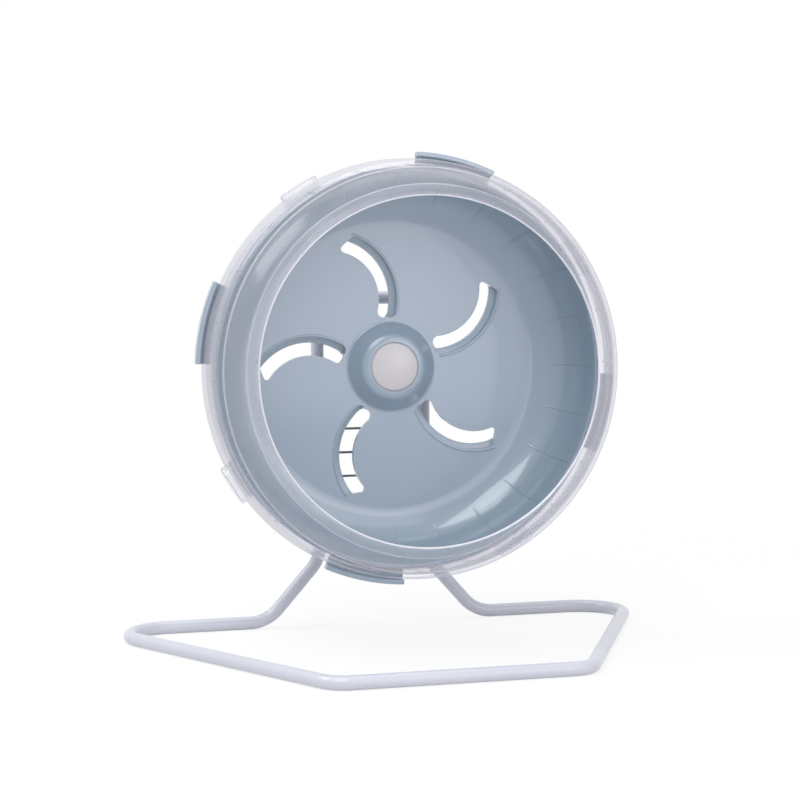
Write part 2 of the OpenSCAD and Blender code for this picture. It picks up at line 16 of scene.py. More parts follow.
import bmesh
import bpy
from mathutils import Matrix, Vector


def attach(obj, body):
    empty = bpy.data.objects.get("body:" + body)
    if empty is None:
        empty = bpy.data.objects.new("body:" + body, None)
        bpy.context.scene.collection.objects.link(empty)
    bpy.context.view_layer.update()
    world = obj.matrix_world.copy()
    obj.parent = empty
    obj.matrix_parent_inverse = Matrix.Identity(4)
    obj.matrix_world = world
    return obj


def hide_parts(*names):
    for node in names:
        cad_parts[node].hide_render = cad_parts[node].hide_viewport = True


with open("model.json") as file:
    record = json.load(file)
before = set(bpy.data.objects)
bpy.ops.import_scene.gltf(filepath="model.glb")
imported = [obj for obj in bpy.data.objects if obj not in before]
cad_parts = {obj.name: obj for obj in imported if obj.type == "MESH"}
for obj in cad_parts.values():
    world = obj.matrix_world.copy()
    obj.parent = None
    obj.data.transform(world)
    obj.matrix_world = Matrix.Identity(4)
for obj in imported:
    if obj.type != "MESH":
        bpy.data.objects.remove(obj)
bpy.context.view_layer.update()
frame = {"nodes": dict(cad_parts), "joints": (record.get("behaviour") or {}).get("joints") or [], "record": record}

LOG = logging.getLogger("exercise_wheel")
MM = 0.001
SAME_POINT = 1e-7
SLIVER = 2e-6
FULL_TURN = 2 * math.pi
QUARTER = math.pi / 2
UPRIGHT = Matrix.Rotation(QUARTER, 4, "X")
OUTWARD = Matrix.Rotation(QUARTER, 4, "Y")

Triple = tuple[float, float, float]
Corner = Triple
Colour = tuple[float, float, float, float]
Piece = bpy.types.Object


def direction(degrees: float) -> Vector:
    """Returns the unit vector in the plane at that angle."""
    return Vector((math.cos(math.radians(degrees)), math.sin(math.radians(degrees))))


def mm(*values: float) -> tuple[float, ...]:
    """Returns lengths given in millimetres as metres."""
    return tuple(v * MM for v in values)


class Body(Enum):
    """The moving bodies that pieces ride on."""

    STAND = "stand"
    WHEEL = "wheel"


class Joining(Enum):
    """How one solid is worked into another."""

    ADD = "UNION"
    CUT = "DIFFERENCE"
    COMMON = "INTERSECT"


# Outlines

def round_corner(before: Vector, here: Vector, after: Vector,
                 radius: float) -> tuple[Vector, Vector, float]:
    """Works out the arc that rounds a corner.

    Args:
        before: The corner before it.
        here: The corner.
        after: The corner after it.
        radius: Radius of the arc.

    Returns:
        The arc's centre, its first point seen from there, and its turn in radians.
    """
    back, onward = (before - here).normalized(), (after - here).normalized()
    opening = back.angle(onward)
    run = radius / math.tan(opening / 2)
    centre = here + (back + onward).normalized() * radius / math.sin(opening / 2)
    return centre, here + back * run - centre, math.pi - opening


def rounded(corners: Sequence[Corner], closed: bool = True, step: float = 5.0) -> list[Vector]:
    """Rounds the corners of an outline with true arcs.

    Args:
        corners: Points of the outline, each with the radius of its round corner.
        closed: Whether the last point joins the first.
        step: Largest turn between two points of an arc, in degrees.

    Returns:
        The points of the rounded outline.
    """
    count = len(corners)
    outline: list[Vector] = []
    for i, (x, y, radius) in enumerate(corners):
        here = Vector((x, y))
        if radius <= 0 or (not closed and i in (0, count - 1)):
            outline.append(here)
            continue
        before, after = Vector(corners[i - 1][:2]), Vector(corners[(i + 1) % count][:2])
        centre, first, turn = round_corner(before, here, after, radius)
        if first.x * (here - centre).y - first.y * (here - centre).x < 0:
            turn = -turn
        pieces = max(2, math.ceil(abs(math.degrees(turn)) / step))
        for k in range(pieces + 1):
            angle = turn * k / pieces
            c, s = math.cos(angle), math.sin(angle)
            outline.append(centre + Vector((first.x * c - first.y * s, first.x * s + first.y * c)))
    return outline


def rounded_mm(corners: Sequence[Corner], step: float = 5.0) -> list[Vector]:
    """Rounds the corners of a closed outline that is given in millimetres."""
    return rounded([mm(*corner) for corner in corners], step=step)


def box(across: float, along: float, radius: float, step: float) -> list[Vector]:
    """Returns a rectangle with round corners about the origin, given by its half sizes."""
    corners = ((-1, -1), (1, -1), (1, 1), (-1, 1))
    return rounded([(x * across, y * along, radius) for x, y in corners], step=step)


def normals(line: Sequence[Vector]) -> list[Vector]:
    """Works out which way an open line faces.

    Args:
        line: Points of the line.

    Returns:
        The direction to the right of the line at each of its points.
    """
    last = len(line) - 1
    found = []
    for i in range(last + 1):
        along = (line[min(i + 1, last)] - line[max(i - 1, 0)]).normalized()
        found.append(Vector((along.y, -along.x)))
    return found


def bow(start: Vector, end: Vector, height: float, pieces: int = 24) -> list[Vector]:
    """Joins two points with a shallow curve.

    Args:
        start: First point.
        end: Last point.
        height: How far the curve bulges to its right.
        pieces: Number of steps along the curve.

    Returns:
        The points of the curve, with both ends.
    """
    along = end - start
    side = Vector((along.y, -along.x)).normalized()
    return [start + along * s + side * height * math.sin(math.pi * s)
            for s in (k / pieces for k in range(pieces + 1))]


# Solids

def placed(name: str, data: bpy.types.ID) -> Piece:
    """Puts a new object into the scene.

    Args:
        name: Name of the object.
        data: Its mesh, lamp or camera.

    Returns:
        The object.
    """
    made = bpy.data.objects.new(name, data)
    bpy.context.scene.collection.objects.link(made)
    return made


@contextmanager
def worked(mesh: bpy.types.Mesh) -> Iterator[bmesh.types.BMesh]:
    """Opens a mesh for editing, and keeps what was done to it.

    Args:
        mesh: The mesh.

    Yields:
        The mesh, open for editing.
    """
    work = bmesh.new()
    work.from_mesh(mesh)
    yield work
    work.to_mesh(mesh)
    work.free()


def solid(name: str, points: Iterable[Sequence[float]], faces: Iterable[Sequence[int]]) -> Piece:
    """Makes a closed solid from points and faces and turns its faces outward.

    Args:
        name: Name of the new object.
        points: Corners of the solid.
        faces: Indices of the corners of each face.

    Returns:
        The new object.
    """
    mesh = bpy.data.meshes.new(name)
    mesh.from_pydata([tuple(p) for p in points], [], [tuple(f) for f in faces])
    with worked(mesh) as work:
        bmesh.ops.remove_doubles(work, verts=work.verts, dist=SAME_POINT)
        bmesh.ops.recalc_face_normals(work, faces=work.faces)
    return placed(name, mesh)


def loft(name: str, rings: Sequence[Sequence[Sequence[float]]], closed: bool) -> Piece:
    """Joins a row of equal rings of points into a solid.

    Args:
        name: Name of the new object.
        rings: Closed rings of points, each with the same number of points.
        closed: Whether the last ring joins the first. If not, both ends are capped.

    Returns:
        The new object.
    """
    size, count = len(rings[0]), len(rings)
    points = [p for ring in rings for p in ring]
    faces = []
    for i in range(count if closed else count - 1):
        here, there = i * size, (i + 1) % count * size
        for k in range(size):
            nxt = (k + 1) % size
            faces.append((here + k, here + nxt, there + nxt, there + k))
    if not closed:
        faces.append(tuple(range(size)))
        faces.append(tuple(range((count - 1) * size, count * size)))
    return solid(name, points, faces)


def revolve(name: str, section: Sequence[Vector], steps: int = 288, start: float = 0.0,
            span: float = 360.0) -> Piece:
    """Turns a closed section of radius and depth round the axle.

    Args:
        name: Name of the new object.
        section: Closed outline, with the radius first and the depth second.
        steps: Number of flats in a full turn.
        start: Direction in which a part turn starts.
        span: Angle of the turn.

    Returns:
        The new object.
    """
    whole = span >= 360
    flats = steps if whole else max(2, math.ceil(steps * span / 360))
    rings = []
    for i in range(flats if whole else flats + 1):
        way = direction(start + span * i / flats)
        rings.append([(p.x * way.x, p.x * way.y, p.y) for p in section])
    return loft(name, rings, whole)


def lathe(name: str, section: Sequence[Vector], steps: int) -> Piece:
    """Turns an open section round the axle into a closed solid.

    Args:
        name: Name of the new object.
        section: Outline of radius and depth that starts and ends on the axle.
        steps: Number of flats in a full turn.

    Returns:
        The new object.
    """
    count = len(section)
    points = [(0.0, 0.0, section[0].y), (0.0, 0.0, section[-1].y)]
    for i in range(steps):
        way = direction(360 * i / steps)
        points += [(p.x * way.x, p.x * way.y, p.y) for p in section[1:-1]]
    size = count - 2
    faces: list[tuple[int, ...]] = []
    for i in range(steps):
        here, there = 2 + i * size, 2 + (i + 1) % steps * size
        faces.append((0, there, here))
        faces.append((1, here + size - 1, there + size - 1))
        faces += [(here + k, there + k, there + k + 1, here + k + 1) for k in range(size - 1)]
    return solid(name, points, faces)


def peg(name: str, corners: Sequence[Corner], steps: int) -> Piece:
    """Turns an outline round the axle, with a flat end at its first and at its last depth."""
    ends = [(0, corners[i][1], 0) for i in (0, -1)]
    return lathe(name, rounded([ends[0], *corners, ends[1]], closed=False), steps)


def prism(name: str, outline: Sequence[Vector], low: float, high: float) -> Piece:
    """Stretches a flat outline along z from one height to another."""
    rings = [[(p.x, p.y, z) for p in outline] for z in (low, high)]
    return loft(name, rings, False)


def turned(piece: Piece, matrix: Matrix) -> Piece:
    """Moves a solid's mesh.

    Args:
        piece: The solid.
        matrix: The move.

    Returns:
        The same solid.
    """
    piece.data.transform(matrix)
    if matrix.determinant() < 0:
        piece.data.flip_normals()
    return piece


def about_axle(degrees: float) -> Matrix:
    """Returns the turn round the axle by that angle, in the wheel's own axes."""
    return Matrix.Rotation(math.radians(degrees), 4, "Z")


def joined(name: str, pieces: Sequence[Piece]) -> Piece:
    """Gathers separate solids into one object, without merging them.

    Args:
        name: Name of the new object.
        pieces: Solids to gather. They are removed.

    Returns:
        The new object.
    """
    mesh = bpy.data.meshes.new(name)
    with worked(mesh) as work:
        for piece in pieces:
            work.from_mesh(piece.data)
            discard(piece)
    return placed(name, mesh)


def discard(piece: Piece) -> None:
    """Removes an object and its mesh.

    Args:
        piece: The object.
    """
    mesh = piece.data
    bpy.data.objects.remove(piece)
    bpy.data.meshes.remove(mesh)


def settle(piece: Piece) -> None:
    """Makes the result of an object's modifiers its own mesh.

    Args:
        piece: The object.
    """
    bpy.context.view_layer.update()
    evaluated = piece.evaluated_get(bpy.context.evaluated_depsgraph_get())
    mesh = bpy.data.meshes.new_from_object(evaluated)
    old = piece.data
    piece.modifiers.clear()
    piece.data = mesh
    bpy.data.meshes.remove(old)


def combine(body: Piece, tool: Piece, how: Joining) -> None:
    """Works one solid into another and removes the tool.

    Args:
        body: The solid that stays.
        tool: The solid that is worked in.
        how: How it is worked in.
    """
    change = body.modifiers.new("work", "BOOLEAN")
    change.object = tool
    change.operation = how.value
    change.solver = "EXACT"
    settle(body)
    discard(tool)


def work_in(body: Piece, tool: Piece, how: Joining) -> None:
    """Works one solid into another, removes the tool and clears the slivers.

    Args:
        body: The solid that stays.
        tool: The solid that is worked in.
        how: How it is worked in.
    """
    combine(body, tool, how)
    with worked(body.data) as work:
        bmesh.ops.dissolve_degenerate(work, edges=work.edges, dist=SLIVER)


def ease_edges(piece: Piece, width: float, limit: float = 40.0, steps: int = 2,
               where: Callable[[Vector], bool] = lambda middle: True) -> None:
    """Rounds the sharp edges of a solid.

    Args:
        piece: The solid.
        width: Width of the rounding.
        limit: Least angle between two faces whose edge is rounded.
        steps: Number of flats across the rounding.
        where: Whether an edge with that middle is rounded.
    """
    with worked(piece.data) as work:
        sharp = [e for e in work.edges
                 if len(e.link_faces) == 2 and e.calc_face_angle() > math.radians(limit)
                 and where((e.verts[0].co + e.verts[1].co) / 2)]
        bmesh.ops.bevel(work, geom=sharp, offset=width, segments=steps, profile=0.5, affect="EDGES",
                        clamp_overlap=True)


def smooth(piece: Piece, limit: float = 32.0) -> None:
    """Shades a solid smooth, with its large faces flat.

    Args:
        piece: The solid.
        limit: Least angle of an edge that stays sharp.
    """
    piece.data.shade_smooth()
    piece.data.set_sharp_from_angle(angle=math.radians(limit))
    change = piece.modifiers.new("flat faces", "WEIGHTED_NORMAL")
    change.keep_sharp = True
    settle(piece)


# Shader maths

class Wire:
    """An output socket that is written in sums. A sum of values adds its Math nodes."""

    def __init__(self, sheet: "Sheet", socket: bpy.types.NodeSocket) -> None:
        """Wraps a socket of the given sheet."""
        self.sheet = sheet
        self.socket = socket

    def _maths(self, operation: str, *values: "float | Wire") -> "Wire":
        """Adds one Math node and returns its result."""
        return self.sheet.node("ShaderNodeMath", {"operation": operation}, dict(enumerate(values)))

    def __add__(self, other: "float | Wire") -> "Wire":
        """Returns the sum."""
        return self._maths("ADD", self, other)

    __radd__ = __add__

    def __sub__(self, other: "float | Wire") -> "Wire":
        """Returns the difference."""
        return self._maths("SUBTRACT", self, other)

    def __rsub__(self, other: "float | Wire") -> "Wire":
        """Returns the difference the other way round."""
        return self._maths("SUBTRACT", other, self)

    def __mul__(self, other: "float | Wire") -> "Wire":
        """Returns the product."""
        return self._maths("MULTIPLY", self, other)

    __rmul__ = __mul__

    def __pow__(self, other: "float | Wire") -> "Wire":
        """Returns the power."""
        return self._maths("POWER", self, other)

    def clamped(self) -> "Wire":
        """Returns the value held between zero and one."""
        return self.sheet.node("ShaderNodeClamp", {}, {"Value": self})


class Sheet:
    """The node tree of one material or of the world."""

    def __init__(self, tree: bpy.types.NodeTree) -> None:
        """Empties a node tree and starts on it."""
        self.tree = tree
        tree.nodes.clear()

    def node(self, kind: str, settings: dict[str, object], inputs: dict[object, object],
             output: "str | int" = 0) -> Wire:
        """Adds a node.

        Args:
            kind: Type of the node.
            settings: Its properties, which are set first.
            inputs: Values or wires for its sockets, by name or number.
            output: Which output is returned.

        Returns:
            The wire from that output.
        """
        made = self.tree.nodes.new(kind)
        for key, value in settings.items():
            setattr(made, key, value)
        for key, value in inputs.items():
            socket = made.inputs[key]
            if isinstance(value, Wire):
                self.tree.links.new(value.socket, socket)
            else:
                socket.default_value = value
        return Wire(self, made.outputs[output])

    def place(self) -> Wire:
        """Returns the place on the object, in its own axes."""
        return self.node("ShaderNodeTexCoord", {}, {}, "Object")

    def noise(self, scale: float, detail: float = 3.0, roughness: float = 0.5,
              at: "Wire | None" = None) -> Wire:
        """Returns a cloudy value about one half, with that many clouds a metre."""
        return self.node("ShaderNodeTexNoise", {}, {
            "Vector": at or self.place(), "Scale": scale, "Detail": detail, "Roughness": roughness})

    def stretched(self, factors: Triple) -> Wire:
        """Returns the place with each axis stretched by a factor."""
        return self.vector("MULTIPLY", "Vector", self.place(), factors)

    def band(self, value: "float | Wire", low: float, high: float, to_low: float = 0.0,
             to_high: float = 1.0) -> Wire:
        """Returns a value that goes smoothly from one level to another between two limits."""
        return self.node("ShaderNodeMapRange", {"interpolation_type": "SMOOTHSTEP"}, {
            "Value": value, "From Min": low, "From Max": high, "To Min": to_low, "To Max": to_high})

    def blend(self, share: "float | Wire", first: object, second: object) -> Wire:
        """Returns a mix of two colours."""
        return self.node("ShaderNodeMix", {"data_type": "RGBA"},
                         {0: share, 6: first, 7: second}, 2)

    def bump(self, height: Wire, depth: float, strength: float = 1.0,
             normal: "Wire | None" = None) -> Wire:
        """Roughens a surface by a height.

        Args:
            height: The height, from 0 to 1.
            depth: Depth in metres of a height of one.
            strength: Share of it that shows.
            normal: The normal that it is added to.

        Returns:
            The roughened normal.
        """
        inputs: dict[object, object] = {"Height": height, "Distance": depth, "Strength": strength}
        if normal is not None:
            inputs["Normal"] = normal
        return self.node("ShaderNodeBump", {}, inputs)

    def vector(self, operation: str, output: str, *values: object) -> Wire:
        """Adds one Vector Math node and returns an output of it."""
        return self.node("ShaderNodeVectorMath", {"operation": operation},
                         dict(enumerate(values)), output)

    def mixed(self, share: "float | Wire", first: Wire, second: Wire) -> Wire:
        """Returns a mix of two shaders."""
        return self.node("ShaderNodeMixShader", {}, {0: share, 1: first, 2: second})

    def principled(self, **inputs: object) -> Wire:
        """Adds the surface shader. Names are those of its sockets, with _ for a space."""
        return self.node("ShaderNodeBsdfPrincipled", {},
                         {key.replace("_", " "): value for key, value in inputs.items()})

    def finish(self, surface: Wire, output: str = "ShaderNodeOutputMaterial") -> None:
        """Joins a shader to a new output node."""
        made = self.tree.nodes.new(output)
        self.tree.links.new(surface.socket, made.inputs["Surface"])


def shade(red: float, green: float, blue: float) -> Colour:
    """Makes a linear colour from screen values from 0 to 255.

    Args:
        red: Amount of red.
        green: Amount of green.
        blue: Amount of blue.

    Returns:
        The colour, opaque.
    """
    def linear(value: float) -> float:
        """Returns one channel as a linear value."""
        v = value / 255
        return v / 12.92 if v <= 0.04045 else ((v + 0.055) / 1.055) ** 2.4
    return linear(red), linear(green), linear(blue), 1.0


# Finishes

@dataclass(frozen=True)
class Finish:
    """What all finishes share: a name, the record's slot and how the material is made."""

    name: str
    slot: str

    def build(self, sheet: Sheet) -> Wire:
        """Returns the surface shader."""
        raise NotImplementedError

    def material(self) -> bpy.types.Material:
        """Makes the material, or finds it when it is made.

        Returns:
            The material.
        """
        known = bpy.data.materials.get(self.name)
        if known is not None:
            return known
        made = bpy.data.materials.new(self.name)
        made.use_nodes = True
        sheet = Sheet(made.node_tree)
        sheet.finish(self.build(sheet))
        return made

    def dress(self, piece: Piece) -> None:
        """Gives a piece this finish and no other."""
        piece.data.materials.clear()
        piece.data.materials.append(self.material())


@dataclass(frozen=True)
class Moulding(Finish):
    """Glossy coloured plastic with faint flow marks, shallow waves, a fine grain and haze.

    The flow, the waves, the grain and the haze are given by how many there are a metre.
    """

    colour: Colour = shade(142, 158, 172)
    deep: Colour = shade(137, 154, 168)
    roughness: float = 0.34
    coat: float = 1.0
    polish: float = 0.1
    flow: float = 9
    waves: float = 14
    wave_depth: float = 0.00005
    grain: float = 2600
    grain_depth: float = 0.000006
    haze: float = 40

    def build(self, sheet: Sheet) -> Wire:
        """Builds the surface.

        Args:
            sheet: The material's sheet.

        Returns:
            The surface shader.
        """
        flow = sheet.noise(self.flow, 2, 0.4, sheet.stretched((1, 0.35, 1)))
        colour = sheet.blend(sheet.band(flow, 0.3, 0.7), self.colour, self.deep)
        grain = sheet.bump(sheet.noise(self.grain, 2, 0.5), self.grain_depth, 0.15)
        normal = sheet.bump(sheet.noise(self.waves, 0, 0.4), self.wave_depth, 0.12, grain)
        haze = sheet.band(sheet.noise(self.haze, 1, 0.4), 0.3, 0.75,
                          self.roughness - 0.01, self.roughness + 0.02)
        return sheet.principled(Base_Color=colour, Roughness=haze, Normal=normal,
                                Coat_Weight=self.coat, Coat_Roughness=self.polish, IOR=1.5)


@dataclass(frozen=True)
class Enamel(Finish):
    """Thick white enamel on steel, with a faint orange peel, pooled patches and a few small chips.

    The chips and the peel are given by how many there are a metre.
    """

    colour: Colour = shade(194, 195, 204)
    pool: Colour = shade(190, 192, 201)
    chip: Colour = shade(140, 126, 112)
    chips: float = 34.0
    cover: float = 0.8
    dulled: float = 0.3
    orange_peel: float = 620

    def build(self, sheet: Sheet) -> Wire:
        """Builds the surface.

        Args:
            sheet: The material's sheet.

        Returns:
            The surface shader.
        """
        cloud = sheet.noise(14, 2, 0.4)
        coat = sheet.blend(sheet.band(cloud, 0.3, 0.75), self.colour, self.pool)
        spots = sheet.node("ShaderNodeTexVoronoi", {"feature": "F1"}, {
            "Vector": sheet.place(), "Scale": self.chips, "Randomness": 1.0}, "Distance")
        worn = sheet.band(sheet.noise(16, 2, 0.5), 0.66, 0.7)
        mask = (1 - sheet.band(spots, 0.03, 0.05)) * worn
        colour = sheet.blend(mask * self.cover, coat, self.chip)
        normal = sheet.bump(sheet.noise(self.orange_peel, 3, 0.5), 0.00001, 0.06)
        rough = sheet.band(sheet.noise(110, 4, 0.6), 0.3, 0.8, 0.28, 0.33) + mask * self.dulled
        return sheet.principled(Base_Color=colour, Roughness=rough, Normal=normal,
                                Coat_Weight=0.3, Coat_Roughness=0.1)


@dataclass(frozen=True)
class ClearPlastic(Finish):
    """Clear moulded plastic with a milky veil, which thickens edge-on. Painted highlights are added as rings round
    the axle where the veil is thickened, standing in for the bright lines along the lip and the corner.

    A painted highlight line is given by its radius from the axle, its half width and its strength.
    """

    tint: Colour = (0.95, 0.95, 0.963, 1.0)
    edge: Colour = (0.45, 0.46, 0.53, 1.0)
    milk_and_highlight: Colour = (0.84, 0.83, 0.87, 1.0)
    haze: float = 0.03
    lip_haze: float = 0.12
    edge_haze: float = 0.5
    mirror_face_on: float = 0.04
    mirror_edge_on: float = 0.45
    polish: float = 0.2
    lip_y: float = -29.5 * MM
    lip_fade: float = 0.3 * MM
    axle_z: float = 122.8 * MM
    crease_y: float = -14.4 * MM
    crease_fade: float = 0.4 * MM
    # Rings of painted highlight, drawn as a thicker milky veil: radius, half width, strength.
    highlight_lines: tuple[Triple, ...] = (
        (73.6 * MM, 0.6 * MM, 0.6), (78.6 * MM, 0.35 * MM, 0.13), (86.2 * MM, 0.4 * MM, 0.25))

    def build(self, sheet: Sheet) -> Wire:
        """Builds the surface, which is paler from the lip's band forward and carries painted highlight lines.

        Args:
            sheet: The material's sheet.

        Returns:
            The surface shader.
        """
        swirl = sheet.bump(sheet.noise(38, 3, 0.5), 0.00006, 0.25)
        facing = sheet.node("ShaderNodeLayerWeight", {}, {"Blend": 0.5, "Normal": swirl}, "Facing")
        inside = sheet.node("ShaderNodeNewGeometry", {}, {}, "Backfacing")
        outside = 1 - inside
        depth = sheet.node("ShaderNodeSeparateXYZ", {}, {"Vector": sheet.place()}, "Y")
        off_axle = sheet.vector("SUBTRACT", "Vector", sheet.stretched((1, 0, 1)),
                                (0, 0, self.axle_z))
        radius = sheet.vector("LENGTH", "Value", off_axle)
        veil_and_highlights = sheet.band(depth, self.lip_y, self.lip_y + self.lip_fade, self.lip_haze, self.haze)
        # Painted highlights: the milky veil is thickened along each ring, only on the part of the ring in front of
        # crease_y.
        for middle, half, strength in self.highlight_lines:
            away = sheet.node("ShaderNodeMath", {"operation": "ABSOLUTE"}, {0: radius - middle})
            veil_and_highlights = veil_and_highlights + sheet.band(away, half / 2, half, strength, 0.0) * sheet.band(
                depth, self.crease_y, self.crease_y + self.crease_fade, 1.0, 0.0)
        face_on = sheet.node("ShaderNodeBsdfTransparent", {}, {"Color": self.tint})
        edge_on = sheet.node("ShaderNodeBsdfTransparent", {}, {"Color": self.edge})
        through = sheet.mixed(facing ** 2.0 * outside, face_on, edge_on)
        milk_and_highlight = sheet.node("ShaderNodeBsdfDiffuse", {}, {"Color": self.milk_and_highlight})
        share = (veil_and_highlights + facing ** 3.0 * self.edge_haze).clamped()
        gloss = sheet.node("ShaderNodeBsdfGlossy", {}, {"Roughness": self.polish, "Normal": swirl})
        mirror = (self.mirror_face_on + self.mirror_edge_on * facing ** 4.0) * outside
        return sheet.mixed(mirror, sheet.mixed(share, through, milk_and_highlight), gloss)


@dataclass(frozen=True)
class Metal(Finish):
    """Bare or plated metal with turning marks and uneven polish."""

    colour: Colour = shade(196, 198, 202)
    stain: Colour = shade(168, 170, 176)
    roughness: float = 0.3
    grain: float = 900.0

    def build(self, sheet: Sheet) -> Wire:
        """Builds the surface.

        Args:
            sheet: The material's sheet.

        Returns:
            The surface shader.
        """
        marks = sheet.noise(self.grain, 3, 0.6, sheet.stretched((1, 0.12, 1)))
        cloud = sheet.noise(130, 4, 0.6)
        colour = sheet.blend(sheet.band(cloud, 0.35, 0.75), self.colour, self.stain)
        rough = sheet.band(marks, 0.3, 0.7, self.roughness - 0.06, self.roughness + 0.1)
        return sheet.principled(Base_Color=colour, Metallic=1.0, Roughness=rough,
                                Normal=sheet.bump(marks, 0.00001, 0.4))


DRUM = Moulding("blue_grey_moulding", "drum_plastic")
CAP = Moulding("light_grey_moulding", "cap_plastic", shade(196, 192, 194), shade(192, 188, 190),
               0.34, 0.2, 0.2)
INSERT = Moulding("blue_nylon", "nylon_insert", shade(60, 96, 168), shade(52, 84, 152),
                  0.45, 0.0, 0.3)
CLEAR = ClearPlastic("clear_moulding", "clear_plastic")
ENAMEL = Enamel("enamel_coat", "white_enamel")
WIRE = Metal("drawn_wire", "wire_steel", shade(150, 150, 158), shade(120, 120, 130), 0.36)
ZINC = Metal("zinc_plate", "zinc_steel", shade(198, 200, 203), shade(176, 178, 180), 0.28)
SPACER = Metal("turned_alloy", "spacer_alloy", shade(205, 206, 210), shade(186, 188, 192), 0.32)
GROUND = Metal("ground_steel", "bearing_steel", shade(206, 207, 210), shade(190, 191, 195), 0.18)
SHIELD = Metal("pressed_steel", "shield_steel", shade(172, 174, 180), shade(156, 158, 164), 0.3)
POLISHED = Metal("polished_balls", "ball_chrome", shade(226, 228, 230), shade(214, 216, 218), 0.07)
BRASS = Metal("pressed_brass", "cage_brass", shade(204, 176, 112), shade(182, 150, 90), 0.3)
FINISHES = (DRUM, CAP, INSERT, CLEAR, ENAMEL, WIRE, ZINC, SPACER, GROUND, SHIELD, POLISHED, BRASS)


@dataclass
class Axle:
    """Where the wheel's own axes lie: the axle's height and the face of the disc."""

    height: float
    face_y: float

    def matrix(self) -> Matrix:
        """Returns the matrix from the wheel's own axes to the row's axes."""
        return Matrix.Translation((0, self.face_y, self.height)) @ UPRIGHT


def hang(piece: Piece, finish: Finish, body: Body, *nodes: str) -> Piece:
    """Gives a finished piece its material, its body and the nodes it stands for.

    Args:
        piece: The piece, in place in the row's axes.
        finish: Its finish.
        body: The body that it rides on.
        nodes: The nodes that it replaces.

    Returns:
        The piece.
    """
    finish.dress(piece)
    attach(piece, body.value)
    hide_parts(*nodes)
    LOG.info("%s: %d faces", piece.name, len(piece.data.polygons))
    return piece


def mount(piece: Piece, axle: Axle, finish: Finish, body: Body, node: str,
          limit: float = 32.0) -> Piece:
    """Smooths a piece drawn in the wheel's own axes, and hangs it in its place.

    Args:
        piece: The piece, in the wheel's own axes.
        axle: Where those axes lie.
        finish: Its finish.
        body: The body that it rides on.
        node: The node that it replaces.
        limit: Least angle of an edge that stays sharp.

    Returns:
        The piece.
    """
    smooth(piece, limit)
    return hang(turned(piece, axle.matrix()), finish, body, node)


def all_round(count: int, make: Callable[[], Piece], first: float = 0.0) -> list[Piece]:
    """Makes a piece in each of so many equal directions, from the first one on."""
    return [turned(make(), about_axle(360 * i / count + first)) for i in range(count)]


def axle_from_frame() -> Axle:
    """Reads the place of the wheel's axle from the wheel's joint.

    Returns:
        The axle.
    """
    joint = next(j for j in frame["joints"] if j["child"] == Body.WHEEL.value)
    _, face_y, height = joint["pos_m"]
    return Axle(height, face_y)


# Grip ribs, which run forward along the inside of the drum and of the clear ring

@dataclass
class GripRib:
    """A low round-topped bar that follows a line of the inside wall."""

    width: float = 1.2 * MM
    height: float = 0.8 * MM
    sink: float = 0.5 * MM
    taper: float = 2.0 * MM
    end: float = 0.1 * MM
    count: int = 24
    offset: float = 0.0

    def along(self, line: Sequence[Vector]) -> list[Piece]:
        """Returns the ribs at all their directions.

        Args:
            line: Line of the inside wall, as radius and depth, with the hollow on its right.

        Returns:
            The ribs, in the wheel's own axes.
        """
        facing = normals(line)
        reach = [0.0]
        for a, b in zip(line, line[1:]):
            reach.append(reach[-1] + (b - a).length)
        rings = []
        for point, normal, run in zip(line, facing, reach):
            ends = min(1.0, (run + self.end) / self.taper,
                       (reach[-1] - run + self.end) / self.taper)
            top = self.height * math.sin(ends * QUARTER)
            side = [(1, -self.sink), (1, top * 0.25), (0.8, top * 0.7), (0.4, top * 0.95)]
            section = [(-across, up) for across, up in side] + [(0, top)] + side[::-1]
            rings.append([self._place(point, normal, across * self.width / 2, up)
                          for across, up in section])
        return all_round(self.count, lambda: loft("rib", rings, False), self.offset)

    def _place(self, point: Vector, normal: Vector, across: float, up: float) -> tuple[float, ...]:
        """Returns a corner of the rib's section at one point of its line."""
        lifted = point + normal * up
        return lifted.x, across, lifted.y


# The drum

